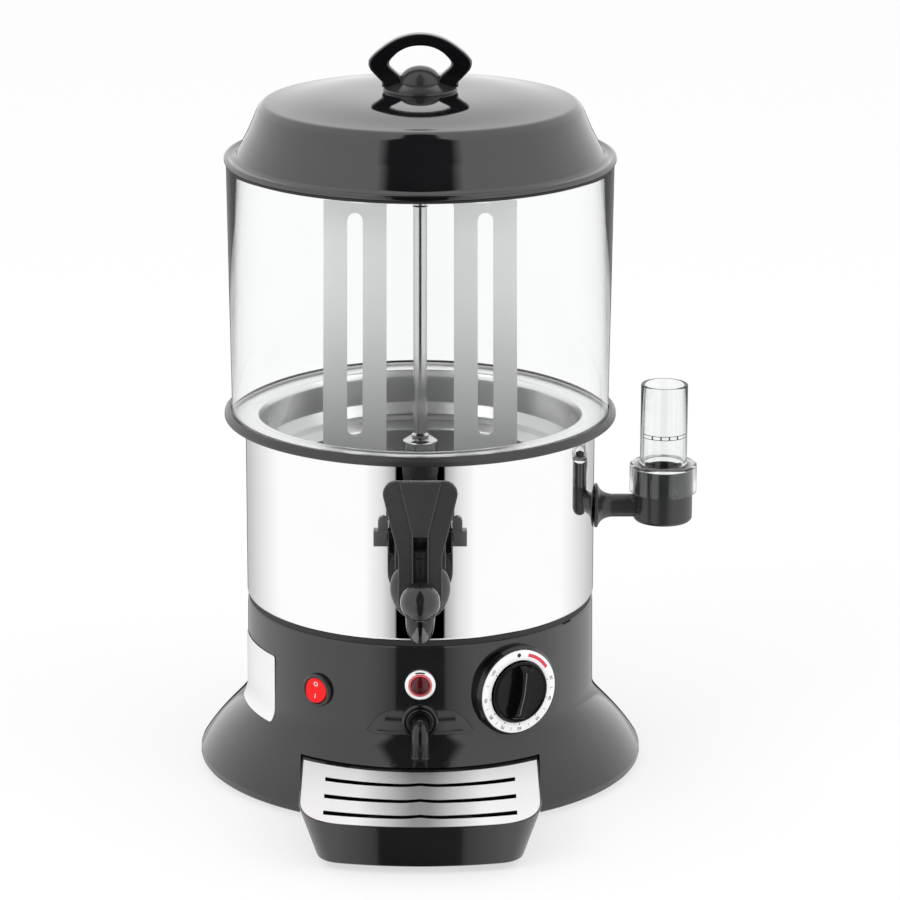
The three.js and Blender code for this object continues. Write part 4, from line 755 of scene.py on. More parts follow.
@dataclass(frozen=True)
class Finish:
    """A surface finish that becomes one material."""

    name: str
    light: Colour
    dark: Colour
    smoothest: float
    roughest: float
    bump: float = 0.05
    grain: float = 500.0
    lines: type[Effect] = Grain
    cloud_scale: ClassVar[float] = 16.0
    bump_depth: ClassVar[float] = 0.0002

    def material(self) -> bpy.types.Material:
        """The finish's material, built once.

        Returns:
            The material.
        """
        title = f"{self.name}_finish"
        known = bpy.data.materials.get(title)
        if known:
            return known
        material = bpy.data.materials.new(title)
        graph = Graph.fresh(material)
        shader = graph.node("BsdfPrincipled")
        out = graph.node("OutputMaterial", {"Surface": shader.outputs["BSDF"]})
        self.dress(Surface(graph, shader, out, graph.node("TexCoord").outputs["Object"]))
        return material

    def dress(self, on: Surface) -> None:
        """Fill in the shader.

        Args:
            on: The material's nodes.
        """
        cloud = Cloud.place(
            on.graph, on.where, Scale=self.cloud_scale, Low=self.smoothest, High=self.roughest,
        )
        colour = on.graph.blend(cloud["Mask"], (*self.dark, 1), (*self.light, 1))
        height = self.lines.place(on.graph, on.where, Scale=self.grain)["Height"]
        relief = {"Strength": self.bump, "Distance": self.bump_depth, "Height": height}
        bump = on.graph.node("Bump", relief)
        fed = {"Base Color": colour, "Roughness": cloud["Value"], "Normal": bump.outputs["Normal"]}
        on.graph.feed(on.shader, fed)


@dataclass(frozen=True)
class Plastic(Finish):
    """Moulded plastic with a light coat of gloss."""

    gloss: float = 0.0
    painted_glow: float = 0.0
    shine: float = 0.5

    def dress(self, on: Surface) -> None:
        """Add the coat and the painted glow to the plain finish.

        Args:
            on: The material's nodes.
        """
        super().dress(on)
        coat = {"Coat Weight": self.gloss, "Coat Roughness": 0.04, "Specular IOR Level": self.shine}
        on.graph.feed(on.shader, coat)
        # painted glow: the part gives off light in its own light colour, though it is no lamp
        if self.painted_glow:
            on.graph.feed(on.shader, {"Emission Color": (*self.light, 1), "Emission Strength": self.painted_glow})


@dataclass(frozen=True)
class Metal(Finish):
    """Bare metal."""

    metallic: float = 1.0

    def dress(self, on: Surface) -> None:
        """Make the plain finish metallic."""
        super().dress(on)
        on.graph.feed(on.shader, {"Metallic": self.metallic})


@dataclass(frozen=True)
class PaintedShadeMetal(Metal):
    """Satin sheet with painted shade: darker towards one end or its middle."""

    along: str = "X"
    start: float = 0.0
    end: float = 0.1
    shade: float = 0.5

    def dress(self, on: Surface) -> None:
        """Paint shade on the sheet along an axis.

        Args:
            on: The material's nodes.
        """
        super().dress(on)
        parts = on.graph.node("SeparateXYZ", {"Vector": on.where}).outputs
        place = on.graph.math("ABSOLUTE", parts[self.along])
        # painted shade: below start along the axis the base colour is darkened to the shade share, rising to
        # full colour at end
        level = on.graph.spread(place, (self.start, self.end), (self.shade, 1.0))
        plain = on.shader.inputs["Base Color"].links[0].from_socket
        on.graph.feed(on.shader, {"Base Color": on.graph.blend(1.0, plain, level, blend_type="MULTIPLY")})


@dataclass(frozen=True)
class Clear(Finish):
    """Clear plastic that lets light through."""

    bend: float = 1.3

    def dress(self, on: Surface) -> None:
        """Make the finish transparent, with light passing through to what is behind it.

        Args:
            on: The material's nodes.
        """
        super().dress(on)
        on.graph.feed(on.shader, {"Transmission Weight": 1.0, "IOR": self.bend})
        path = on.graph.node("LightPath").outputs
        passing = on.graph.node("BsdfTransparent", {"Color": (0.97, 0.975, 0.975, 1)})
        through = on.graph.math("MAXIMUM", path["Is Shadow Ray"], path["Is Diffuse Ray"])
        mix = on.graph.either(through, on.shader, passing)
        on.graph.feed(on.out, {"Surface": mix.outputs["Shader"]})


BODY_BLACK = Plastic(
    "body_gloss_black", (0.014, 0.014, 0.015), (0.01, 0.01, 0.011), 0.05, 0.09, bump=0.012, grain=260.0,
    gloss=0.6,
)
LID_BLACK = Plastic(
    "lid_gloss_black", (0.007, 0.007, 0.008), (0.004, 0.004, 0.005), 0.05, 0.08, bump=0.008, grain=260.0,
    gloss=0.5, shine=0.95,
)
TRIM_BLACK = Plastic(
    "trim_black", (0.03, 0.03, 0.032), (0.024, 0.024, 0.026), 0.2, 0.28, bump=0.03, grain=700.0, gloss=0.2,
)
FITTING_BLACK = Plastic(
    "fitting_black", (0.03, 0.031, 0.032), (0.022, 0.023, 0.024), 0.2, 0.3, bump=0.06, grain=900.0, gloss=0.15,
)
LEVER_BLACK = Plastic(
    "lever_black", (0.043, 0.043, 0.044), (0.035, 0.035, 0.036), 0.2, 0.3, bump=0.06, grain=900.0, gloss=0.15,
)
DIAL_BLACK = Plastic(
    "dial_black", (0.006, 0.006, 0.007), (0.004, 0.004, 0.004), 0.1, 0.16, bump=0.02, grain=700.0, shine=0.2,
)
KNOB_BLACK = Plastic(
    "knob_black", (0.006, 0.006, 0.007), (0.004, 0.004, 0.004), 0.12, 0.2, bump=0.05, grain=900.0, gloss=0.3,
)
WING_GREY = Plastic(
    "wing_grey", (0.1, 0.1, 0.105), (0.07, 0.07, 0.075), 0.25, 0.35, bump=0.05, grain=700.0, gloss=0.2,
)
# Grey with two uses: a painted highlight on the nozzle's flutes, and the dial's printed pointer line
FLUTE_HIGHLIGHT_AND_POINTER_GREY = Plastic(
    "flute_highlight_and_pointer_grey", (0.17, 0.17, 0.175), (0.1, 0.1, 0.105), 0.25, 0.35, bump=0.05, grain=700.0, gloss=0.2,
)
SEAL_PALE = Plastic("pale_silicone", (0.6, 0.6, 0.6), (0.52, 0.52, 0.52), 0.4, 0.5, bump=0.1, grain=900.0)
RUBBER = Plastic(
    "seal_rubber_black", (0.02, 0.02, 0.021), (0.014, 0.014, 0.015), 0.5, 0.65, bump=0.2, grain=1200.0,
)
MIRROR = Metal(
    "mirror_steel", (0.985, 0.985, 0.985), (0.97, 0.97, 0.975), 0.015, 0.03, bump=0.004, grain=500.0,
    lines=RingLines,
)
# Pan steel with painted shade: below the flange the wall and floor are darker
PAN_STEEL_PAINTED_SHADE = PaintedShadeMetal(
    "spun_pan_steel_painted_shade", (0.94, 0.94, 0.94), (0.88, 0.88, 0.885), 0.26, 0.34, bump=0.08, grain=900.0, along="Z",
    start=0.251, end=0.256, shade=0.7, lines=RingLines,
)
STEEL = Metal(
    "ground_steel", (0.72, 0.72, 0.725), (0.64, 0.64, 0.65), 0.2, 0.3, bump=0.1, grain=30.0,
    lines=StraightLines,
)
# Paddle steel with painted shade: darker towards the bottom of the bowl
PADDLE_STEEL_PAINTED_SHADE = PaintedShadeMetal(
    "paddle_steel_painted_shade", (0.98, 0.98, 0.98), (0.95, 0.95, 0.955), 0.34, 0.42, bump=0.08, grain=34.0, metallic=0.04,
    along="Z", start=0.19, end=0.38, shade=0.33, lines=StraightLines,
)
# Grille steel with painted shade: darker in its middle, under the machine
GRILLE_STEEL_PAINTED_SHADE = PaintedShadeMetal(
    "grille_steel_painted_shade", (1.0, 1.0, 1.0), (0.97, 0.97, 0.975), 0.28, 0.36, bump=0.06, grain=26.0, metallic=0.02,
    along="X", start=0.006, end=0.043, shade=0.3, lines=StraightLines,
)
ROD_STEEL = Metal(
    "rod_steel", (0.72, 0.72, 0.725), (0.64, 0.64, 0.645), 0.14, 0.22, bump=0.06, grain=1500.0, lines=RingLines,
)
CAST_METAL = Metal("cast_motor_metal", (0.4, 0.41, 0.42), (0.32, 0.33, 0.34), 0.4, 0.55, bump=0.3, grain=300.0)
BRASS = Metal("turned_brass", (0.72, 0.55, 0.28), (0.6, 0.45, 0.2), 0.22, 0.34, bump=0.08, grain=500.0)
WHITE = Plastic(
    "printed_white", (0.97, 0.97, 0.97), (0.94, 0.94, 0.94), 0.3, 0.42, bump=0.05, grain=700.0, gloss=0.1,
)
PLATE_WHITE = Plastic(
    "plate_white", (0.86, 0.86, 0.865), (0.8, 0.8, 0.81), 0.26, 0.36, bump=0.03, grain=400.0, gloss=0.1,
)
INK_BLACK = Plastic("ink_black", (0.02, 0.02, 0.02), (0.012, 0.012, 0.012), 0.35, 0.5, bump=0.05, grain=800.0)
INK_RED = Plastic("ink_red", (0.8, 0.06, 0.09), (0.7, 0.04, 0.07), 0.35, 0.5, bump=0.05, grain=800.0)
# Signal red for the rocker, with a faint painted glow that makes its red vivid
SIGNAL_RED_PAINTED_GLOW = Plastic(
    "signal_red", (0.82, 0.008, 0.01), (0.7, 0.006, 0.008), 0.2, 0.3, bump=0.04, grain=500.0, gloss=0.05,
    painted_glow=0.05, shine=0.2,
)
LENS_RED = Plastic(
    "lens_red", (0.07, 0.003, 0.005), (0.05, 0.002, 0.003), 0.06, 0.12, bump=0.03, grain=300.0, gloss=0.3,
    shine=0.4,
)
# Light red rim with a painted glow: a painted highlight where light catches the lens's edge
LENS_RIM_PAINTED_HIGHLIGHT = Plastic(
    "lens_rim_painted_highlight", (0.75, 0.1, 0.12), (0.55, 0.06, 0.08), 0.1, 0.18, bump=0.03, grain=300.0, gloss=0.5,
    painted_glow=0.08,
)
CLEAR = Clear(
    "clear_bowl", (0.985, 0.99, 0.99), (0.975, 0.98, 0.98), 0.0, 0.012, bump=0.002, grain=60.0, bend=1.16,
)
TUBE_CLEAR = Clear(
    "clear_tube", (0.97, 0.98, 0.98), (0.95, 0.96, 0.96), 0.0, 0.03, bump=0.006, grain=80.0, bend=1.42,
)


class Assembly(ABC):
    """A group of pieces that is built and dressed together."""

    @abstractmethod
    def build(self) -> None:
        """Model and dress every piece of the group."""

    @staticmethod
    def show(piece: Piece, finish: Finish, body: Body, slot: Slot, *nodes: str) -> Piece:
        """Give a new piece its finish, its body and the nodes that it stands for.

        Args:
            piece: The piece.
            finish: Its finish.
            body: The body that it rides on.
            slot: The record's slot for its finish; not used.
            nodes: The nodes that it replaces.

        Returns:
            The piece.
        """
        piece.data.materials.clear()
        piece.data.materials.append(finish.material())
        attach(piece, body.value)
        if nodes:
            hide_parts(*nodes)
        LOG.info("%s: %d faces on %s", piece.name, len(piece.data.polygons), body.value)
        return piece

    @staticmethod
    def keep(finish: Finish, *nodes: str) -> None:
        """Give nodes of the frame that stay as they are a finish.

        Args:
            finish: The finish.
            nodes: The nodes.
        """
        for name in nodes:
            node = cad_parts[name]
            if not node.material_slots:
                node.data.materials.append(finish.material())
            for held in node.material_slots:
                held.material = finish.material()
            LOG.info("%s: kept, %s", name, finish.name)


@dataclass
class BaseUnit(Assembly):
    """The black base: cylinder, flared skirt and the tray's bay."""

    skirt_radius: float = 160.0
    edge: float = 5.0
    radius: float = 125.3
    top_radius: float = 124.7
    height: float = 118.8
    wall: float = 3.0
    flare_top: float = 56.0
    bay_half: float = 84.3
    bay_rear: float = 124.5
    bay_roof: float = 33.4
    bay_wall: float = 2.5
    box_foot: float = 1.6
    box_crown: float = 37.0
    opening: float = 112.0
    plate_azimuth: float = -71.0
    plate_half: float = 33.4
    plate_low: float = 44.4
    plate_high: float = 93.5
    plate_lift: float = 0.15
    plate_thickness: float = 0.35
    screw_circle: float = 143.0
    screws: int = 6

    def flare(self, steps: int) -> list[Point]:
        """The skirt's curve from its edge up to the cylinder.

        Args:
            steps: Number of segments along it.

        Returns:
            Radius and height pairs.
        """
        controls = [
            (self.skirt_radius, self.edge), (144.0, 31.0), (self.radius, 38.0), (self.radius, self.flare_top),
        ]
        return bezier(controls, steps)

    def bay_plan(self, half: float, rear: float, front: float) -> list[Point]:
        """The bay's outline in the plan.

        Args:
            half: Half its width.
            rear: Radius of its rear wall about the machine's axis.
            front: How far forward it reaches.

        Returns:
            The outline's points.
        """
        lean = math.degrees(math.asin(half / rear))
        back = arc((0, 0), rear, lean - 90, -lean - 90, 24)
        return [(-half, -front), (half, -front), *back]

    def shell(self) -> None:
        """The base's shell with its bay."""
        outer = [
            (self.skirt_radius - self.wall, 0), (self.skirt_radius - 0.6, 0), (self.skirt_radius, 0.8),
            (self.skirt_radius, self.edge - 1.2), *self.flare(28), (self.radius - 0.3, 87),
            (self.top_radius, self.height - 1.2), (self.top_radius - 1.2, self.height),
            (self.opening, self.height),
        ]
        inner = [
            (self.opening, self.height - self.wall), (self.top_radius - self.wall, self.height - self.wall),
            (self.radius - self.wall, self.flare_top),
            *[(r - self.wall, max(z - self.wall, 0.4)) for r, z in reversed(self.flare(10)[:-1])],
        ]
        shell = Bench.turned("base_shell_body", outer + inner, segments=160)
        solid = Bench.turned("bay_limit", [
            (0, 0.1), (self.skirt_radius - 1, 0.1), *self.flare(20), (0, self.flare_top),
        ], segments=160)
        plan = self.bay_plan(self.bay_half + self.bay_wall, self.bay_rear - self.bay_wall, 170)
        box = Bench.slab("bay_box", plan, self.box_foot, self.box_crown)
        Bench.within(box, solid)
        room = Bench.slab("bay_room", self.bay_plan(self.bay_half, self.bay_rear, 172), -4, self.bay_roof)
        Bench.fuse(shell, box)
        Bench.cut(shell, room)
        Bench.soften(shell, 0.5, 2, 50.0)
        self.show(shell, BODY_BLACK, Body.MACHINE, Slot.BODY_BLACK, "base_shell")

    def rating_plate(self) -> None:
        """The bare white plate on the left of the base, curved round it and out over the flare."""
        low, high = 42.0, 95.0
        curve = [p for p in self.flare(60) if p[1] > low]
        back = [(r + self.plate_lift, z) for r, z in curve] + [(self.radius + 0.05, high)]
        front = [(r + self.plate_thickness, z) for r, z in reversed(back)]
        plate = Bench.turned("rating_plate", [*back, *front], segments=180)
        window = Bench.slab(
            "plate_window", oblong(-self.plate_half, self.plate_low, self.plate_half, self.plate_high, 2.0), 60,
            150, station(self.plate_azimuth),
        )
        Bench.within(plate, window)
        self.show(plate, PLATE_WHITE, Body.MACHINE, Slot.WHITE)

    def seam(self) -> None:
        """The dark ring between the base and the steel body."""
        ring = Bench.turned("seam_ring_band", rounded([
            (self.opening, self.height, 0), (124.0, self.height, 0.5), (124.0, 123, 0.5),
            (self.opening, 123, 0),
        ]), segments=128)
        self.show(ring, RUBBER, Body.MACHINE, Slot.RUBBER, "seam_ring")

    def underside(self) -> None:
        """The base plate, feet and screws below it."""
        self.keep(STEEL, "base_plate")
        self.keep(RUBBER, "foot_front_left", "foot_front_right", "foot_rear_left", "foot_rear_right")
        screws = []
        for index in range(self.screws):
            angle = TURN * (index + 0.5) / self.screws
            head = Bench.turned(
                f"plate_screw_{index}",
                [
                    (0, -1.6), (1.2, -1.6), (1.2, -1.0), (1.6, -1.0), (1.6, -1.9), (2.6, -1.6), (3.4, -0.9),
                    (3.6, 0), (0, 0),
                ],
                shifted(self.screw_circle * math.cos(angle), self.screw_circle * math.sin(angle), 0),
                segments=24,
            )
            screws.append(head)
        self.show(Bench.joined(*screws, name="plate_screws"), STEEL, Body.MACHINE, Slot.STEEL)

    def build(self) -> None:
        """Build the base."""
        self.shell()
        self.seam()
        self.rating_plate()
        self.underside()


@dataclass
class SteelBody(Assembly):
    """The mirror-polished steel body, the trim ring and the pan."""

    radius: float = 125.0
    bottom: float = 123.0
    top: float = 253.0
    bore: float = 8.3
    mouth: float = 119.5
    sheet: float = 1.2
    pan_floor: float = 160.0

    def tank(self) -> None:
        """The steel body that holds the water."""
        shell = Bench.turned("steel_body", [
            (self.bore, self.bottom), (self.radius - 1.6, self.bottom), (self.radius - 0.5, self.bottom + 0.5),
            (self.radius, self.bottom + 1.6), (self.radius, self.bottom + 2.2), (self.radius, self.bottom + 60),
            (self.radius, self.top), (self.mouth, self.top), (self.mouth, self.top - self.sheet),
            (self.radius - self.sheet, self.top - self.sheet),
            (self.radius - self.sheet, self.bottom + self.sheet), (self.bore, self.bottom + self.sheet),
        ], segments=192)
        self.show(shell, MIRROR, Body.MACHINE, Slot.MIRROR_STEEL, "water_tank")

    def trim(self) -> None:
        """The black ring round the pan's edge."""
        corners = [
            (self.mouth, self.top, 0), (139.2, self.top, 0.8), (140, 254, 0.8), (140, 256.5, 0.8),
            (137.2, 259.4, 1.2), (135.1, 259.4, 0.2), (135.1, 256, 0), (self.mouth, 256, 0),
        ]
        ring = Bench.turned("trim_ring_moulding", rounded(corners), segments=160)
        self.show(ring, TRIM_BLACK, Body.MACHINE, Slot.BODY_BLACK, "trim_ring")

    def pan(self) -> None:
        """The steel pan with its stepped neck and broad flange."""
        inside = [
            (self.bore, self.pan_floor, 0), (95.5, self.pan_floor, 1), (100, self.pan_floor + 4.5, 3),
            (100, 220, 3), (104.5, 225.6, 2.5), (109, 228.4, 3), (112.6, 236, 3), (113.4, 253.6, 2),
            (114.6, 258.0, 1.5), (117.4, 258.2, 1.5), (119.4, 257.2, 1.5), (134.8, 257.2, 0),
        ]
        skin = rounded(inside, closed=False, steps=5)
        below = [(r + self.sheet, z - self.sheet, radius) for r, z, radius in inside[:-4]]
        outside = rounded([*below, (118, 256, 2.5), (134.8, 256, 0)], closed=False, steps=4)
        shell = Bench.turned("pan_shell", skin + outside[::-1], segments=160, angle=40)
        # The pan's wall and floor below the flange carry painted shade.
        self.show(shell, PAN_STEEL_PAINTED_SHADE, Body.MACHINE, Slot.STEEL, "inner_pot")

    def build(self) -> None:
        """Build the steel body."""
        self.tank()
        self.trim()
        self.pan()
        gasket = Bench.turned(
            "bowl_gasket_ring", oblong(130.8, 257.2, 134.8, 258.7, 0.3, steps=2), segments=128,
        )
        self.show(gasket, SEAL_PALE, Body.MACHINE, Slot.RUBBER, "bowl_gasket")
        self.keep(ROD_STEEL, "standpipe", "heating_element")
        self.keep(RUBBER, "shaft_seal", "drain_pipe")
        self.keep(STEEL, "motor_bracket")
        self.keep(CAST_METAL, "gearbox", "drive_motor")
        self.keep(FITTING_BLACK, "thermal_cutout")
        self.keep(WHITE, "terminal_block")


@dataclass
class BowlAndLid(Assembly):
    """The clear bowl and the black lid with its knob."""

    foot: float = 258.7
    top: float = 436.5
    crown: float = 487.0
    peak: float = 488.4
    loop_height: float = 39.4
    loop_half: float = 36.2
    loop_thickness: float = 9.0
    outer_shares: list[Point] = field(default_factory=lambda: [
        (0, 1), (0.2, 0.985), (0.4, 0.935), (0.54, 0.876), (0.68, 0.796), (0.84, 0.682), (0.93, 0.602),
        (0.98, 0.541), (1, 0.476), (0.988, 0.412), (0.945, 0.34), (0.84, 0.235), (0.74, 0.14), (0.62, 0.03),
    ])
    inner_shares: list[Point] = field(default_factory=lambda: [
        (0, 0.79), (0.16, 0.777), (0.3, 0.737), (0.425, 0.672), (0.525, 0.588), (0.585, 0.52), (0.602, 0.465),
        (0.57, 0.405), (0.475, 0.322), (0.38, 0.245), (0.25, 0.14),
    ])

    def bowl(self) -> None:
        """The clear wall, with its edges rounded."""
        wall = Bench.turned("bowl_wall", rounded([
            (131.6, self.foot, 0.8), (134.6, self.foot, 0.8), (136.8, self.top, 0.9), (133.8, self.top, 0.9),
        ], steps=4), segments=192)
        self.show(wall, CLEAR, Body.MACHINE, Slot.CLEAR, "clear_bowl")

    def lid(self) -> None:
        """The lid's shell with its rolled rim, gutter, slope and low dome."""
        crown = bezier([(110.4, 480.2), (84, 482.6), (75, self.peak), (24, self.peak)], 28)
        outer = rounded([
            (134, 438.7, 0), (138.2, 438.7, 1.0), (138.2, 442.4, 1.5), (136, 442.9, 0.8), (132.6, 441.4, 1.6),
            (129.6, 443.6, 2.5), (121.2, 459.8, 30), (114.4, 475.8, 6), (110.4, 480.2, 5), (*crown[2], 0),
        ], closed=False, steps=6)
        outer += [*crown[3:], (2.3, self.peak)]
        inner = [
            (2.3, 485), (60, 483.4), (108.6, 478.2), (112.8, 474.6), (119.4, 459.4), (128, 442.6),
            (129.5, 438.7),
        ]
        shell = Bench.turned("lid_shell_moulding", outer + inner, segments=192, angle=38)
        self.show(shell, LID_BLACK, Body.LID, Slot.LID_BLACK, "lid_shell")
        seal = Bench.turned("lid_seal_ring", rounded([
            (131, 436.5, 0.6), (137.3, 436.5, 0.8), (137.3, 438.7, 0.8), (131, 438.7, 0.4),
        ], steps=3), segments=128)
        self.show(seal, RUBBER, Body.LID, Slot.RUBBER, "lid_seal")

    def loop_outline(self, shares: Sequence[Point]) -> list[Point]:
        """A smooth outline of the knob's loop from its right-hand half.

        Args:
            shares: Shares of half width and height, from the top down.

        Returns:
            The outline's points.
        """
        base = self.crown + 2
        half = [(x * self.loop_half, base + z * self.loop_height) for x, z in shares]
        return smooth_loop([*half, *[(-x, z) for x, z in half[:0:-1]]], steps=4)

    def knob(self) -> None:
        """The knob: a flat hub with a dome, and a rounded loop round it."""
        base = self.crown
        dome = [(14.6 * c, base + 7.2 + 11.1 * s) for c, s in arc((0, 0), 1.0, 0, 84, 14)]
        hub = Bench.turned("lid_knob_hub", [
            (0, base), (24.8, base),
            *rounded([(25.6, base + 0.6, 0.4), (26, base + 1.6, 0.6), (25.6, base + 4.6, 0.8)], steps=3),
            (15.2, base + 7), *dome, (0, base + 18.3),
        ], segments=96, angle=40)
        half = self.loop_thickness / 2
        loop = Bench.slab("loop", self.loop_outline(self.outer_shares), -half, half, station())
        gap = Bench.slab("loop_gap", self.loop_outline(self.inner_shares), -half - 3, half + 3, station())
        Bench.cut(loop, gap)
        Bench.soften(loop, 2.6, 5, 50.0)
        loop.name = "lid_knob_ring"
        self.show(loop, LID_BLACK, Body.LID, Slot.LID_BLACK, "lid_knob")
        self.show(hub, TRIM_BLACK, Body.LID, Slot.LID_BLACK)
        self.keep(STEEL, "lid_screw")

    def build(self) -> None:
        """Build the bowl and the lid."""
        self.bowl()
        self.lid()
        self.knob()


@dataclass
class Stirrer(Assembly):
    """The driven stirrer with its two slotted paddles."""

    inner: float = 24.0
    outer: float = 69.0
    bottom: float = 178.0
    top: float = 417.0
    slot_width: float = 11.0
    slot_bottom: float = 241.0
    slot_top: float = 396.0
    thickness: float = 2.0

    def paddle(self, name: str, node: str, mirrored: bool) -> None:
        """One slotted paddle.

        Args:
            name: The piece's name.
            node: The node that it stands for.
            mirrored: Whether it goes on the left.
        """
        half = self.thickness / 2
        place = station(180 if mirrored else 0)
        plate = Bench.slab(name, rounded([
            (self.inner, self.bottom, 1.0), (self.outer, self.bottom, 7.0), (self.outer, self.top, 2.5),
            (self.inner, self.top, 1.0),
        ]), -half, half, place)
        middle, round_end = (self.inner + self.outer) / 2, self.slot_width / 2
        slot = Bench.slab("paddle_slot", [
            *arc((middle, self.slot_top - round_end), round_end, 0, 180, 16),
            *arc((middle, self.slot_bottom + round_end), round_end, 180, 360, 16),
        ], -4, 4, place)
        Bench.cut(plate, slot)
        Bench.soften(plate, 0.35, 2)
        # The paddles carry painted shade, darker towards the bottom.
        self.show(plate, PADDLE_STEEL_PAINTED_SHADE, Body.STIRRER, Slot.STEEL, node)

    def hub(self) -> None:
        """The driven hub over the standpipe, with its two arms."""
        cup = Bench.turned("stirrer_hub_cup", [
            (0, 236), (4.8, 236), (4.8, 228), (8.6, 228),
            *rounded([(8.6, 206, 0.3), (12.4, 206, 0.6), (12.4, 237.6, 0.8), (8.0, 240, 0.6)], steps=4)[1:],
            (0, 240),
        ], segments=64)
        arms = []
        for side in (0, 180):
            arm = Bench.slab(f"hub_arm_{side}", oblong(9, 206, 24, 214), -1.5, 1.5, station(side))
            arms.append(Bench.soften(arm, 0.4, 2))
        self.show(Bench.joined(cup, *arms), ROD_STEEL, Body.STIRRER, Slot.STEEL, "stirrer_hub")

    def shaft(self) -> None:
        """The shaft and the top fittings."""
        rod = Bench.turned("stirrer_shaft_rod", [
            (0, 240), (6.4, 240), (6.4, 241.5), (4.9, 243), (4.9, 416.9), (0, 416.9),
        ], segments=48)
        self.show(rod, ROD_STEEL, Body.STIRRER, Slot.STEEL, "stirrer_shaft")
        collar = Bench.turned("stirrer_collar_ring", rounded([
            (5.2, 401, 0.3), (6.2, 401, 1), (7.4, 403, 1), (7.4, 409, 0.5), (5.2, 409, 0.2),
        ]), segments=48)
        self.show(collar, FITTING_BLACK, Body.STIRRER, Slot.FITTING_BLACK, "stirrer_collar")
        cap = Bench.turned("stirrer_cap_nut", rounded([
            (0, 417, 0), (8, 417, 0.4), (8, 424.6, 1.8), (5.6, 428, 1.8), (0, 428, 0),
        ], closed=False), segments=48)
        self.show(cap, FITTING_BLACK, Body.STIRRER, Slot.FITTING_BLACK, "stirrer_cap")
        bar = Bench.refined("stirrer_crossbar", "stirrer_crossbar_strip", 0.3)
        self.show(bar, PADDLE_STEEL_PAINTED_SHADE, Body.STIRRER, Slot.STEEL, "stirrer_crossbar")
        self.keep(ROD_STEEL, "drive_shaft")

    def build(self) -> None:
        """Build the stirrer."""
        self.paddle("paddle_left", "stirrer_paddle_left", True)
        self.paddle("paddle_right", "stirrer_paddle_right", False)
        self.hub()
        self.shaft()


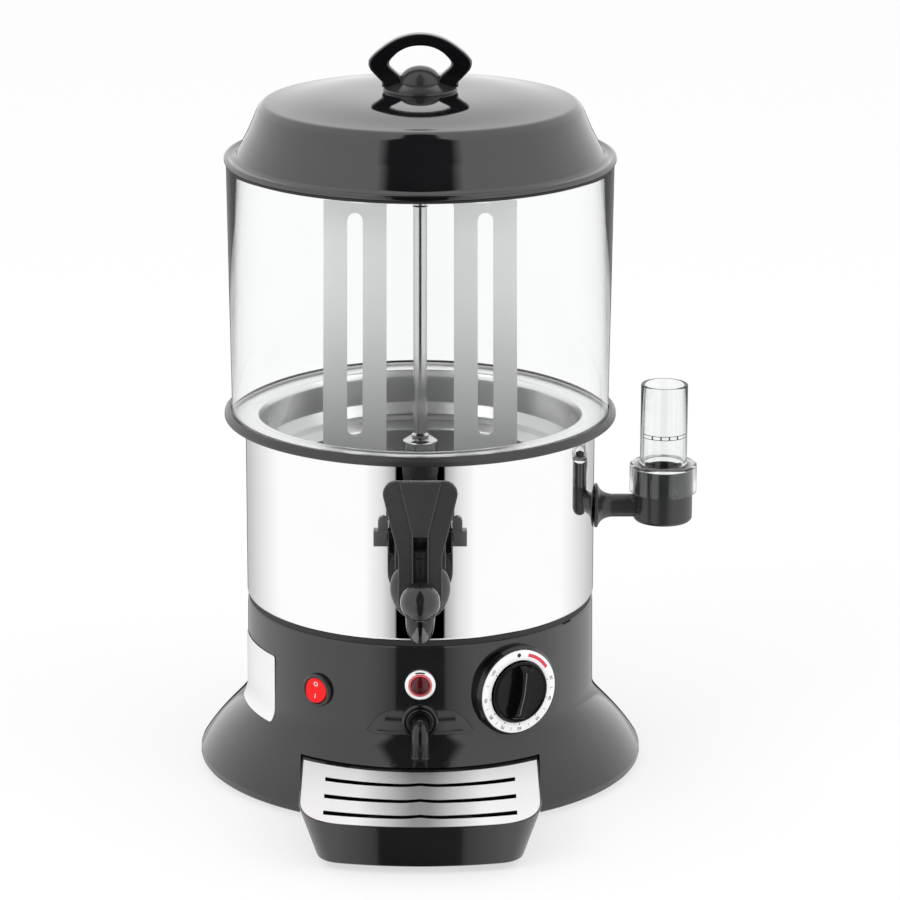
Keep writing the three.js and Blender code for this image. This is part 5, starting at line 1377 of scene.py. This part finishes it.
@dataclass
class Tap(Assembly):
    """The sprung tap: body, lever with its ball, pin, valve and cap."""

    height: float = 176.0
    reach: float = 160.0
    pivot_reach: float = 148.0
    pivot_height: float = 206.0
    spring_wire: float = 0.9
    valve_travel: float = 5.3
    boss: float = 6.5
    ear_width: float = 4.5
    arm_width: float = 2.6
    plate_half: float = 22.6
    lever_face: float = 179.0

    def body(self) -> None:
        """The tap's body: flange, shank, flattened bulge, barrel and fluted nozzle."""
        shank = Bench.turned("tap_body_moulding", rounded([
            (5.5, 89, 0), (9, 89, 0.4), (9, 129, 0), (self.plate_half, 129, 0.6), (self.plate_half, 133, 1.2),
            (10.5, 134, 2), (9, 138, 2), (9, 158, 0), (5.5, 158, 0),
        ]), station(0, self.height), segments=72)
        out = shifted(0, -self.reach, 0)
        squash = Matrix.Diagonal((1, 0.62, 1, 1))
        bulge = Bench.turned("bulge", [(0, 189), (12.6, 189), *bezier([
            (12.8, 188.4), (22.4, 184), (23.6, 170), (19.0, 158.5), (9.6, 152.4),
        ], 20), (0, 152.4)], out @ squash, segments=72, angle=50)
        barrel = Bench.turned("barrel", rounded([
            (9, 180, 0), (13, 180, 0), (13, 198, 0.8), (9, 198, 0.5),
        ]), out, segments=64)
        core = self.nozzle("nozzle", 0.0, out)
        half, top = self.plate_half, self.pivot_height + self.boss
        plate = Bench.slab("tap_back_plate", rounded([
            (-half, self.height, 0), (half, self.height, 0), (half, top, 1.5), (-half, top, 1.5),
        ]), 129.0, 133.0, station())
        Bench.soften(plate, 0.6, 2)
        ears = []
        for low in (17.5, -22.0):
            outline = [
                (131, 196), (131, top), *arc((self.pivot_reach, self.pivot_height), self.boss, 90, 0, 12),
                (self.pivot_reach + self.boss, 196),
            ]
            ear = Bench.slab(f"ear_{low}", outline, -low - self.ear_width, -low, sideways())
            ears.append(Bench.soften(ear, 0.6, 3))
        self.show(
            Bench.joined(shank, bulge, barrel, plate), FITTING_BLACK, Body.MACHINE, Slot.FITTING_BLACK,
            "tap_body",
        )
        dark = Bench.joined(core, *ears, name="tap_nozzle_and_ears")
        self.show(dark, KNOB_BLACK, Body.MACHINE, Slot.FITTING_BLACK)
        # The flutes are grey leaves a hair proud of the black nozzle: a painted highlight.
        flutes = []
        for side in (-1, 1):
            leaf = [(1.2, 135.8), (3.4, 135.6), (5.8, 138.2), (5.4, 141.4), (3.8, 144.6), (1.6, 148.0)]
            outline = smooth_loop([(side * x, z) for x, z in leaf[::side]], steps=3)
            flute = Bench.slab(f"nozzle_flute_{side}", outline, 1.0, 14.0, out @ station())
            flutes.append(Bench.within(flute, self.nozzle("nozzle_limit", 0.18, out)))
        self.show(Bench.joined(*flutes, name="tap_nozzle_flute_highlights"), FLUTE_HIGHLIGHT_AND_POINTER_GREY, Body.MACHINE, Slot.FITTING_BLACK)

    @staticmethod
    def nozzle(name: str, proud: float, place: Matrix) -> Piece:
        """The nozzle with its full sides and open end.

        Args:
            name: The piece's name.
            proud: How far its side stands out.
            place: The tap's outlet.

        Returns:
            The nozzle.
        """
        side = bezier([(5.2, 134.8), (9.2, 138.8), (10.0, 146.0), (10.2, 152.6)], 14)
        return Bench.turned(name, [
            (3.4, 153.0), (3.4, 135.2), (4.0, 134.7), *[(r + proud, z) for r, z in side], (10.2 + proud, 153.0),
        ], place, segments=64, angle=40)

    def lever(self) -> None:
        """The lever plate with its raised wedge, slot and arms."""
        face = self.lever_face
        plate = Bench.slab("tap_lever_plate", rounded([
            (-15, 165, 3), (15, 165, 3), (15, 201, 5), (27.8, 254.2, 9), (-27.8, 254.2, 9), (-15, 201, 5),
        ], steps=8), face - 5, face - 1.2, station())
        wedge = Bench.slab("lever_wedge", rounded([
            (-5.8, 165, 1), (5.8, 165, 1), (5.8, 217, 4), (14.5, 254, 1), (-14.5, 254, 1), (-5.8, 217, 4),
        ], steps=4), face - 3, face, station())
        for part in (plate, wedge):
            Bench.soften(part, 0.7, 3)
        Bench.fuse(plate, wedge)
        slot = Bench.slab("lever_slot", rounded([
            (-4.7, 182, 0.5), (4.7, 182, 0.5), (4.7, 215.4, 0.3), (-4.7, 215.4, 0.3),
        ]), 170, 184, station())
        Bench.cut(plate, slot)
        arms = []
        for low in (14.6, -17.2):
            eye = arc((self.pivot_reach, self.pivot_height), self.boss, 90, 270, 16)
            outline = [(face - 4, 191), (face - 4, 218), *eye]
            arm = Bench.slab(f"arm_{low}", outline, -low - self.arm_width, -low, sideways())
            arms.append(Bench.soften(arm, 0.5, 2))
        pins = [
            Bench.turned(
                f"lift_pin_{side}",
                rounded([(0, 4.8, 0), (2, 4.8, 0.4), (2, 15.5, 0), (0, 15.5, 0)], closed=False, steps=2),
                shifted(0, -self.reach, self.pivot_height - 0.5) @ tilted(90 * side, "Y"), segments=24,
            )
            for side in (-1, 1)
        ]
        self.show(Bench.joined(plate, *arms, *pins), LEVER_BLACK, Body.HANDLE, Slot.FITTING_BLACK, "tap_lever")

    def ball(self) -> None:
        """The ball on the lever, with a short neck behind it."""
        centre, radius, start = 188.0, 13.6, self.lever_face
        first = math.degrees(math.acos((start - centre) / radius))
        sphere = [(z, r) for r, z in arc((centre, 0), radius, first, 0, 28)]
        profile = [(0, start), (sphere[0][0] * 0.98, start), *sphere]
        profile[-1] = (0, centre + radius)
        ball = Bench.turned("tap_ball_knob", profile, station(0, 172.2), segments=64, angle=50)
        self.show(ball, BODY_BLACK, Body.HANDLE, Slot.FITTING_BLACK, "tap_ball")

    def spring(self) -> None:
        """The coil spring that closes the valve, sized to the frame's spring."""
        low, high = (Vector(corner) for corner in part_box("tap_spring"))
        reach = (high.x - low.x) / 2 / MM - self.spring_wire
        foot, head = low.z / MM + self.spring_wire, high.z / MM - self.spring_wire
        turns, steps = 5, 24
        path = [
            (
                reach * math.cos(i * TURN / steps), reach * math.sin(i * TURN / steps),
                foot + (head - foot) * i / turns / steps,
            )
            for i in range(turns * steps + 1)
        ]
        centre = Vector((0, (low.y + high.y) / 2, 0))
        coil = Bench.swept("tap_coil_spring", path, self.spring_wire, Matrix.Translation(centre), 4)
        self.show(coil, ROD_STEEL, Body.MACHINE, Slot.STEEL, "tap_spring")
        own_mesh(coil)

    def build(self) -> None:
        """Build the tap."""
        self.body()
        self.lever()
        self.ball()
        pin = Bench.refined("tap_pin", "tap_pin_wings", 0.7)
        self.show(pin, WING_GREY, Body.MACHINE, Slot.FITTING_BLACK, "tap_pin")
        cap = Bench.refined("tap_cap", "tap_cap_plug", 0.4)
        self.show(cap, FITTING_BLACK, Body.MACHINE, Slot.FITTING_BLACK, "tap_cap")
        self.keep(RUBBER, "tap_gasket", "tap_sleeve")
        self.keep(BRASS, "tap_nut")
        self.keep(FITTING_BLACK, "tap_plunger")
        self.spring()


@dataclass
class Gauge(Assembly):
    """The water filler and level gauge on the right-hand side."""

    reach: float = 174.8
    arm_height: float = 184.5

    def place(self) -> Matrix:
        """The tube's axis."""
        return shifted(self.reach, 0, 0)

    def cup(self) -> None:
        """The black cup on its trumpet-shaped arm."""
        arm = Bench.turned("gauge_cup_arm", [
            (5, 114), (7, 114), (7, 125.4), (15.4, 125.4), (16, 126), (16, 127.2),
            *bezier([(15.6, 127.8), (9.2, 129.6), (8.3, 138)], 10), (8.3, 168), (5, 168),
        ], station(90, self.arm_height), segments=64, angle=40)
        cup = Bench.turned("cup", rounded([
            (0, 174, 0), (19.6, 174, 1.5), (21.2, 176, 1.5), (21.2, 213.4, 0.5), (18.5, 213.4, 0.4),
            (18.5, 178, 0.8), (0, 178, 0),
        ], closed=False), self.place(), segments=72)
        self.show(Bench.joined(arm, cup), FITTING_BLACK, Body.MACHINE, Slot.FITTING_BLACK, "gauge_cup")

    def tube(self) -> None:
        """The clear tube with its wide skirt and the level marks on its front."""
        tube = Bench.turned("gauge_tube_clear", rounded([
            (21.6, 195.5, 0.3), (24.1, 195.5, 0.8), (24.1, 216.4, 1.6), (17.4, 216.6, 1.2), (16.8, 220, 1.5),
            (16.8, 275, 0.8), (14.3, 275, 0.8), (14.3, 214, 0.5), (21.6, 214, 0.5),
        ]), self.place())
        self.show(tube, TUBE_CLEAR, Body.MACHINE, Slot.CLEAR, "gauge_tube")
        marks = [self.mark(f"level_line_{low:.0f}", low, low + 0.4, 15.4) for low in (237.2, 239.8)]
        marks += [self.mark(f"level_tick_{spot}", 237.6, 239.8, 0.5, spot) for spot in (-9.0, -3.0, 3.0, 9.0)]
        self.show(Bench.joined(*marks, name="level_marks"), INK_BLACK, Body.MACHINE, Slot.FITTING_BLACK)

    def mark(self, name: str, low: float, high: float, half: float, middle: float = 0.0) -> Piece:
        """One printed mark on the front of the tube.

        Args:
            name: The mark's name.
            low: Its lower height.
            high: Its upper height.
            half: Half its width across.
            middle: Its middle across the tube.

        Returns:
            The mark.
        """
        band = Bench.turned(name, oblong(16.85, low, 17.0, high), self.place())
        window = Bench.slab(
            "mark_window", oblong(middle - half, 200, middle + half, 280), 1, 30, self.place() @ station(),
        )
        return Bench.within(band, window)

    def build(self) -> None:
        """Build the gauge."""
        self.cup()
        self.tube()
        self.keep(BRASS, "gauge_nut")


class Figure(Enum):
    """The dial's figures and their clockwise places from the top, in degrees."""

    THIRTY = ("30", 78)
    FORTY = ("40", 110)
    FIFTY = ("50", 145)
    SIXTY = ("60", 179)
    SEVENTY = ("70", 209)
    EIGHTY = ("80", 237)
    NINETY = ("90", 266)
    HUNDRED = ("100", 309)


@dataclass
class Dial(Assembly):
    """The thermostat dial: raised bezel, printed ring and black knob."""

    azimuth: float = 31.7
    height: float = 81.5
    face: float = 131.9
    figure_circle: float = 27.4
    ink: float = 0.1
    lean: float = 11.0

    def place(self) -> Matrix:
        """The dial's place on the base."""
        return station(self.azimuth, self.height)

    def bezel(self) -> None:
        """The raised black bezel, shaped to the base behind it."""
        disc = Bench.turned("dial_bezel_moulding", rounded([
            (7.5, 116, 0), (32.6, 116, 0), (32.6, 128.4, 1.4), (31.0, 130.2, 1.2), (30.8, 130.6, 0.3),
            (7.5, 130.6, 0),
        ]), self.place(), segments=96)
        base = BaseUnit()
        inside = Bench.turned("bezel_back", [
            (0, 0), (160.2, 0), *[(r + 0.15, z) for r, z in base.flare(20)], (base.top_radius + 0.15, 118.8),
            (0, 118.8),
        ], segments=160)
        Bench.cut(disc, inside)
        self.show(disc, KNOB_BLACK, Body.MACHINE, Slot.BODY_BLACK, "dial_bezel")

    def ring(self) -> None:
        """The white ring with its figures, ticks, spot and red arc."""
        face = Bench.turned("dial_scale", rounded([
            (22.9, 130.65, 0), (30.2, 130.65, 0.3), (30.2, self.face, 0.4), (22.9, self.face, 0.2),
        ], steps=2), self.place(), segments=96)
        self.show(face, WHITE, Body.MACHINE, Slot.WHITE, "dial_scale_ring")
        marks = []
        for figure in Figure:
            text, clock = figure.value
            spot = tilted(-clock, "Z") @ shifted(0, self.figure_circle, self.face + self.ink / 2)
            marks.append(Bench.lettering(f"figure_{text}", text, 3.3, self.ink, self.place() @ spot))
            marks.append(self.tick(clock, 23.4, 24.7, 0.5))
        for clock in (94, 128, 162, 194, 223, 252, 288):
            marks.append(self.tick(clock, 26.2, 28.6, 0.25))
        dot = oblong(0, self.face, 1.5, self.face + 0.12)
        marks.append(Bench.turned("off_spot", dot, self.place() @ shifted(0, 26.8, 0), segments=24))
        self.show(Bench.joined(*marks, name="dial_marks"), INK_BLACK, Body.MACHINE, Slot.FITTING_BLACK)
        outline = [*arc((0, 0), 28.0, 73, 32, 20), *arc((0, 0), 25.6, 32, 73, 20)]
        band = Bench.slab("dial_hot_band", outline, self.face, self.face + 0.12, self.place())
        self.show(band, INK_RED, Body.MACHINE, Slot.RED)

    def tick(self, clock: float, inner: float, outer: float, width: float) -> Piece:
        """One short radial mark of the dial.

        Args:
            clock: Its clockwise place from the top, in degrees.
            inner: The radius where it starts.
            outer: The radius where it ends.
            width: Its width.

        Returns:
            The mark.
        """
        half = width / 2
        return Bench.slab(
            f"tick_{clock}", oblong(-half, inner, half, outer), self.face, self.face + self.ink,
            self.place() @ tilted(-clock, "Z"),
        )

    @staticmethod
    def grip_crown(proud: float) -> list[Point]:
        """The profile that the grip's top follows, standing out by a given height."""
        corners = [(0, 130, 0), (20.0, 130, 0), (20.0, 134.6, 1), (16.8, 139.6, 9), (0, 141.6, 0)]
        return rounded([(r, z + (proud if z > 131 else 0), e) for r, z, e in corners], closed=False, steps=8)

    def knob(self) -> None:
        """The knob with its waisted grip and pointer line."""
        turned = self.place() @ tilted(-self.lean, "Z")
        body = Bench.turned("dial_knob_grip", rounded([
            (0, 132.4, 0), (22.0, 132.4, 0.6), (22.0, 134.4, 1.0), (20.6, 135.2, 0.6), (19.6, 134.0, 0.8),
            (14, 133.6, 4), (0, 133.6, 0),
        ], closed=False), self.place(), segments=96)
        side = bezier([(5.2, -20.0), (2.2, 0), (5.2, 20.0)], 16)
        grip = Bench.slab("grip", [*side, *[(-x, y) for x, y in reversed(side)]], 133, 146.0, turned)
        Bench.within(grip, Bench.turned("grip_limit", self.grip_crown(0.0), self.place(), segments=72))
        Bench.soften(grip, 1.6, 4, 40.0)
        line = Bench.slab("pointer", oblong(-1.8, -15.5, -1.2, 15.5), 134, 152, turned)
        Bench.within(line, Bench.turned("pointer_limit", self.grip_crown(0.15), self.place(), segments=72))
        self.show(Bench.joined(body, grip), DIAL_BLACK, Body.DIAL, Slot.FITTING_BLACK, "dial_knob")
        line.name = "dial_pointer"
        self.show(line, FLUTE_HIGHLIGHT_AND_POINTER_GREY, Body.DIAL, Slot.FITTING_BLACK)

    def build(self) -> None:
        """Build the dial."""
        self.bezel()
        self.ring()
        self.knob()
        self.keep(ROD_STEEL, "thermostat_spindle")
        self.keep(WHITE, "thermostat_body")


@dataclass
class SwitchAndLamp(Assembly):
    """The rocker switch, the signal lamp and the drain."""

    rocker_azimuth: float = -35.0
    rocker_height: float = 79.6
    rocker_pivot: float = 125.5
    rocker_tilt: float = 7.0
    lamp_height: float = 91.3
    drain_height: float = 64.6
    spout_reach: float = 146.2
    sign_lean: float = 10.0

    def rocker(self) -> None:
        """The round rocker in its black bezel, with its two signs."""
        place = station(self.rocker_azimuth, self.rocker_height)
        housing = Bench.turned("switch_bezel", rounded([
            (0, 98, 0), (9.9, 98, 0), (9.9, 125.4, 0), (11.9, 125.4, 0.4), (11.9, 127.4, 1.2),
            (10.8, 128.3, 0.7), (9.5, 128.1, 0.4), (9.5, 117, 0), (0, 117, 0),
        ], closed=False), place, segments=72)
        self.show(housing, FITTING_BLACK, Body.MACHINE, Slot.FITTING_BLACK, "switch_housing")
        pivot = shifted(0, 0, self.rocker_pivot)
        tilt = place @ pivot @ tilted(-self.rocker_tilt, "X") @ pivot.inverted()
        outline = rounded([
            (-119.5, -6.5, 0), (-124, -8.8, 0), (-129.2, -8.8, 0.6), (-127.6, 0, 14), (-129.2, 8.8, 0.6),
            (-124, 8.8, 0), (-119.5, 6.5, 0),
        ], steps=6)
        side = Matrix(((0, 0, 1, 0), (0, 1, 0, 0), (-1, 0, 0, 0), (0, 0, 0, 1)))
        wedge = Bench.slab("power_rocker_key", outline, -9, 9, tilt @ side)
        limit = Bench.turned("rocker_limit", oblong(0, 118, 8.8, 131), tilt, segments=64)
        Bench.within(wedge, limit)
        Bench.soften(wedge, 0.45, 3, 40.0)
        # The rocker's red carries a faint painted glow.
        self.show(wedge, SIGNAL_RED_PAINTED_GLOW, Body.ROCKER, Slot.RED, "power_rocker")
        for name, text, rise in (("sign_off", "O", 4.4), ("sign_on", "I", -4.2)):
            spot = shifted(0, rise, 128.5) @ tilted(math.copysign(self.sign_lean, rise), "X")
            sign = Bench.lettering(name, text, 4.6, 0.15, tilt @ spot)
            self.show(sign, WHITE, Body.ROCKER, Slot.WHITE)

    def lamp(self) -> None:
        """The lamp's white ring and its domed red lens."""
        place = station(0, self.lamp_height)
        ring = Bench.turned("lamp_ring", rounded([
            (0, 106, 0), (6.9, 106, 0), (6.9, 125.4, 0), (10.7, 125.4, 0.4), (10.7, 127.4, 1.0),
            (9.6, 128.4, 0.6), (8.25, 128.2, 0.3), (8.25, 126.6, 0), (0, 126.6, 0),
        ], closed=False), place, segments=72)
        self.show(ring, WHITE, Body.MACHINE, Slot.WHITE, "lamp_bezel")
        lens = Bench.turned("lamp_lens_dome", [
            (0, 126.6), (6.6, 126.6), (6.6, 127.6),
            *[(6.6 * c, 127.6 + 4.2 * s) for c, s in arc((0, 0), 1.0, 0, 90, 12)[1:-1]], (0, 131.8),
        ], place, segments=64)
        self.show(lens, LENS_RED, Body.MACHINE, Slot.LENS, "lamp_lens")
        rim = Bench.turned("lamp_lens_rim", rounded([
            (6.4, 126.65, 0), (7.9, 126.65, 0.2), (7.9, 128.4, 0.6), (6.7, 128.9, 0.4),
        ], steps=3), place, segments=64)
        # The lens rim is a painted highlight with a painted glow.
        self.show(rim, LENS_RIM_PAINTED_HIGHLIGHT, Body.MACHINE, Slot.LENS)
        outline = [*arc((0, 0), 9.9, 112, 68, 12), *arc((0, 0), 8.9, 72, 108, 10)]
        mark = Bench.slab("lamp_mark", outline, 127.9, 128.5, place)
        self.show(mark, INK_BLACK, Body.MACHINE, Slot.FITTING_BLACK)

    def drain(self) -> None:
        """The drain's rosette and its turned-down spout."""
        place = station(0, self.drain_height)
        rosette = Bench.turned("drain_rosette", rounded([
            (0, 106, 0), (7, 106, 0), (7, 125.4, 0), (13, 125.4, 0.6), (13, 128.2, 1.2), (11.4, 130.2, 0.8),
            (9.6, 129.4, 0.5), (9.0, 130.2, 0.4), (6.3, 130.2, 0.3), (6.3, 127.2, 0), (0, 127.2, 0),
        ], closed=False, steps=4), place, segments=64)
        self.show(rosette, KNOB_BLACK, Body.MACHINE, Slot.FITTING_BLACK, "drain_body")
        bend = [(0, y, z) for y, z in bezier([(0, 136.2), (0, self.spout_reach), (-10, self.spout_reach)], 16)]
        path = [(0, 0, 127.6), (0, 0, 128.0), *bend, (0, -15, self.spout_reach), (0, -20.4, self.spout_reach)]
        down = place @ shifted(0, 0, self.spout_reach) @ tilted(-90, "X")
        tube = Bench.swept("drain_spout_elbow", path, 6.0, place, 8)
        bore = Bench.turned("spout_bore", oblong(0, -24, 4.4, -12), down, segments=32)
        Bench.cut(tube, bore, angle=40)
        lip = Bench.turned("spout_lip", rounded([
            (4.6, -20.4, 0.3), (6.7, -20.4, 0.6), (6.7, -18.4, 0.6), (5.8, -17.8, 0.3), (4.6, -17.8, 0),
        ], steps=3), down, segments=48)
        self.show(Bench.joined(tube, lip), KNOB_BLACK, Body.SPOUT, Slot.FITTING_BLACK, "drain_spout")

    def build(self) -> None:
        """Build the switch, the lamp, the drain and the cable gland."""
        self.rocker()
        self.lamp()
        self.drain()
        gland = Bench.refined("cable_gland", "cable_gland_moulding", 0.5)
        self.show(gland, RUBBER, Body.MACHINE, Slot.RUBBER, "cable_gland")


@dataclass
class Tray(Assembly):
    """The drip tray and its slotted steel grille."""

    half: float = 83.4
    foot_half: float = 70.5
    front: float = 249.0
    foot_front: float = 243.0
    rear: float = 127.0
    corner: float = 36.0
    corner_reach: float = 27.0
    foot_corner: float = 17.0
    foot_corner_reach: float = 15.0
    top: float = 32.5
    foot: float = 1.8
    seat: float = 31.0
    seat_wall: float = 1.0
    seat_rear: float = 142.0
    wall: float = 3.5
    foot_wall: float = 2.2
    basin_rear: float = 144.8
    basin_floor: float = 4.2
    sheet: float = 1.3
    grille_play: float = 1.3
    grille_hem: float = 3.3
    grille_rear: float = 142.3

    def inset(self, wall: float, rear: float, foot: bool = False) -> list[Point]:
        """The tray's outline at its top or its foot, inside its wall.

        Args:
            wall: How far inside the tray's sides and front it runs.
            rear: Radius of its rear about the machine's axis.
            foot: Whether it is the tighter outline of the foot.

        Returns:
            The outline's points, always equally many.
        """
        half, front, corner, reach = (
            (self.foot_half - wall, self.foot_front - wall, self.foot_corner, self.foot_corner_reach)
            if foot else (self.half - wall, self.front - wall, self.corner, self.corner_reach)
        )
        side_front = math.sqrt(front**2 - half**2)
        meet = half - reach
        lean = math.degrees(math.asin(meet / front))
        rear_lean = math.degrees(math.asin(half / rear))
        meet_front = front * math.cos(math.radians(lean))
        left = bezier([(-half, corner - side_front), (-half, -side_front), (-meet, -meet_front)], 12)
        nose = arc((0, 0), front, -lean - 90, lean - 90, 20)[1:-1]
        right = [(-x, y) for x, y in reversed(left)]
        back = arc((0, 0), rear, rear_lean - 90, -rear_lean - 90, 20)
        return [*left, *nose, *right, *back]

    def tray(self) -> None:
        """The tray's body with its basin and the grille's seat."""
        body = Bench.lofted(
            "drip_tray_moulding", self.inset(0.0, self.rear, foot=True), self.inset(0.0, self.rear), self.foot,
            self.top,
        )
        Bench.soften(body, 0.8, 3, 40.0)
        basin = Bench.lofted(
            "basin", self.inset(self.foot_wall, self.basin_rear, foot=True),
            self.inset(self.wall, self.basin_rear), self.basin_floor, self.seat + 2,
        )
        seat = Bench.slab("seat", self.inset(self.seat_wall, self.seat_rear), self.seat, self.top + 2)
        Bench.cut(body, basin, seat)
        self.show(body, BODY_BLACK, Body.TRAY, Slot.BODY_BLACK, "drip_tray")

    def grille(self) -> None:
        """The thin steel grille with a turned-down edge and three curved slots."""
        edge = self.inset(self.grille_play, self.grille_rear)
        sheet = Bench.slab("tray_grille_sheet", edge, self.seat, self.seat + self.sheet)
        hollow = self.inset(self.grille_hem, self.grille_rear + 2)
        Bench.cut(sheet, Bench.slab("grille_hollow", hollow, self.seat - 3, self.seat + 0.75))
        for index, radius in enumerate((168.0, 199.0, 229.0)):
            slot = Bench.slab(f"grille_slot_{index}", self.slot(radius), self.seat - 3, self.seat + 4)
            Bench.cut(sheet, slot)
        Bench.soften(sheet, 0.15, 2, 40.0)
        # The grille carries painted shade in its middle.
        self.show(sheet, GRILLE_STEEL_PAINTED_SHADE, Body.GRILLE, Slot.STEEL, "tray_grille")

    def slot(self, radius: float) -> list[Point]:
        """One slot: an arc about the axis with a small cusp in its middle.

        Args:
            radius: Its radius about the machine's axis.

        Returns:
            The outline's points.
        """
        steps, half = 40, 66.0
        cusp_half, cusp_rise = 14, 2.6
        narrow, widening = 6.6, 2.0
        near, far = [], []
        for i in range(steps + 1):
            across = half * (2 * i / steps - 1)
            rise = cusp_rise * max(0.0, 1 - abs(across) / cusp_half) ** 1.5
            middle = rise - math.sqrt(radius**2 - across**2)
            width = narrow + widening * abs(across) / half
            near.append((across, middle - width / 2))
            far.append((across, middle + width / 2))
        return [*near, *reversed(far)]

    def build(self) -> None:
        """Build the tray."""
        self.tray()
        self.grille()


@dataclass
class Studio:
    """The pale floor, the light and the camera."""

    floor_size: float = 40.0
    floor_height: float = -4.0
    floor_white: float = 0.62
    camera_height: float = 1032.9
    camera_back: float = 2830.6
    pitch: float = 15.915
    focal_pixels: float = 4097.5
    frame_pixels: float = 900.0
    axis_pixel: float = 420.2
    gap_low: float = 19.0
    gap_high: float = 27.5
    gap_top: float = 30.0
    horizon: Point = (-0.16, -0.1)
    sensor: float = 36.0
    below: list[Point] = field(default_factory=lambda: [
        (0.0, 0.0), (0.0865, 0.0), (0.092, 0.4), (0.139, 0.75), (0.205, 1.0), (0.59, 1.0), (0.83, 0.6),
        (0.93, 0.5), (0.944, 0.02), (1.0, 0.02),
    ])
    above: list[Point] = field(default_factory=lambda: [(0.0, 0.03), (0.42, 0.03), (0.58, 1.0), (1.0, 1.0)])

    def floor(self) -> None:
        """The white floor that keeps the object's shadow.

        Glossy and clear pieces show the surround instead of it.
        """
        Bench.clear()
        bpy.ops.mesh.primitive_plane_add(size=self.floor_size, location=(0, 0, 0))
        floor = bpy.context.object
        floor.name = "studio_floor"
        bpy.ops.object.mode_set(mode="EDIT")
        bpy.ops.mesh.subdivide(number_cuts=4)
        bpy.ops.object.mode_set(mode="OBJECT")
        floor.matrix_world = shifted(0, 0, self.floor_height)
        bpy.ops.object.transform_apply(location=True, rotation=True, scale=True)
        material = bpy.data.materials.new("studio_floor_white")
        graph = Graph.fresh(material)
        path = graph.node("LightPath").outputs
        paint = graph.node("BsdfDiffuse", {"Color": (0.93, 0.93, 0.93, 1)})
        white = graph.math("MULTIPLY", path["Is Camera Ray"], self.floor_white)
        seen = graph.either(white, paint, graph.node("Emission"))
        passing = graph.math("MAXIMUM", path["Is Glossy Ray"], path["Is Transmission Ray"])
        mix = graph.either(passing, seen, graph.node("BsdfTransparent"))
        graph.node("OutputMaterial", {"Surface": mix.outputs["Shader"]})
        floor.data.materials.append(material)

    def surround(self) -> None:
        """The white surround.

        Glossy pieces also see the dark gap between its lights, in front and behind.
        """
        world = bpy.data.worlds.new("studio_surround")
        bpy.context.scene.world = world
        graph = Graph.fresh(world)
        where = graph.node("TexCoord").outputs["Generated"]
        parts = graph.node("SeparateXYZ", {"Vector": where}).outputs
        forward = graph.math("MULTIPLY", parts["Y"], -1.0)
        aside = graph.math("ABSOLUTE", graph.math("ARCTAN2", parts["X"], forward))
        rise = graph.math("ARCSINE", parts["Z"])
        below = graph.ramp(graph.math("DIVIDE", aside, math.pi), self.below)
        gap = (math.radians(self.gap_low), math.radians(self.gap_high))
        edge = graph.spread(rise, (0.0, math.radians(self.gap_top)), gap)
        above = graph.ramp(graph.math("MULTIPLY", graph.math("DIVIDE", aside, edge), 0.5), self.above)
        sky = graph.blend(graph.spread(rise, self.horizon, (0.0, 1.0)), below, above)
        path = graph.node("LightPath").outputs
        bounced = graph.math("MINIMUM", path["Glossy Depth"], 1.0)
        mirrored = graph.math("MULTIPLY", path["Is Glossy Ray"], bounced)
        plain = graph.node("Background", {"Color": (1, 1, 1, 1)})
        mix = graph.either(mirrored, plain, graph.node("Background", {"Color": sky}))
        graph.node("OutputWorld", {"Surface": mix.outputs["Shader"]})

    def lamps(self) -> None:
        """Two large soft lamps that glossy pieces don't mirror."""
        for name, spot, size, power in (
            ("lamp_left", (-1.6, -1.5, 1.9), 1.2, 14.0), ("lamp_right", (1.8, -0.9, 1.6), 1.4, 8.0),
        ):
            data = bpy.data.lights.new(name, "AREA")
            data.size = size
            data.energy = power
            lamp = bpy.data.objects.new(name, data)
            bpy.context.scene.collection.objects.link(lamp)
            aim = Vector((0, 0, 0.2)) - Vector(spot)
            lamp.matrix_world = Matrix.Translation(spot) @ aim.to_track_quat("-Z", "Y").to_matrix().to_4x4()
            lamp.visible_glossy = False

    def camera(self) -> None:
        """The camera at the photograph's place."""
        data = bpy.data.cameras.new("photo_camera")
        data.sensor_width = self.sensor
        data.lens = self.focal_pixels / self.frame_pixels * self.sensor
        data.shift_x = (self.frame_pixels / 2 - self.axis_pixel) / self.frame_pixels
        data.clip_end = 100.0
        camera = bpy.data.objects.new("photo_camera", data)
        bpy.context.scene.collection.objects.link(camera)
        camera.matrix_world = shifted(0, -self.camera_back, self.camera_height) @ tilted(90 - self.pitch, "X")
        bpy.context.scene.camera = camera

    def build(self) -> None:
        """Set up the studio."""
        bpy.context.scene.view_settings.view_transform = "Standard"
        self.floor()
        self.surround()
        self.lamps()
        self.camera()


def main() -> None:
    """Build the machine and the studio."""
    logging.basicConfig(level=logging.INFO, format="%(name)s: %(message)s")
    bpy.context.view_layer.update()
    assemblies: list[Assembly] = [
        BaseUnit(), SteelBody(), BowlAndLid(), Stirrer(), Tap(), Gauge(), Dial(), SwitchAndLamp(), Tray(),
    ]
    for assembly in assemblies:
        LOG.info("building %s", type(assembly).__name__)
        assembly.build()
    Studio().build()
    Bench.clear()


if __name__ == "__main__":
    main()
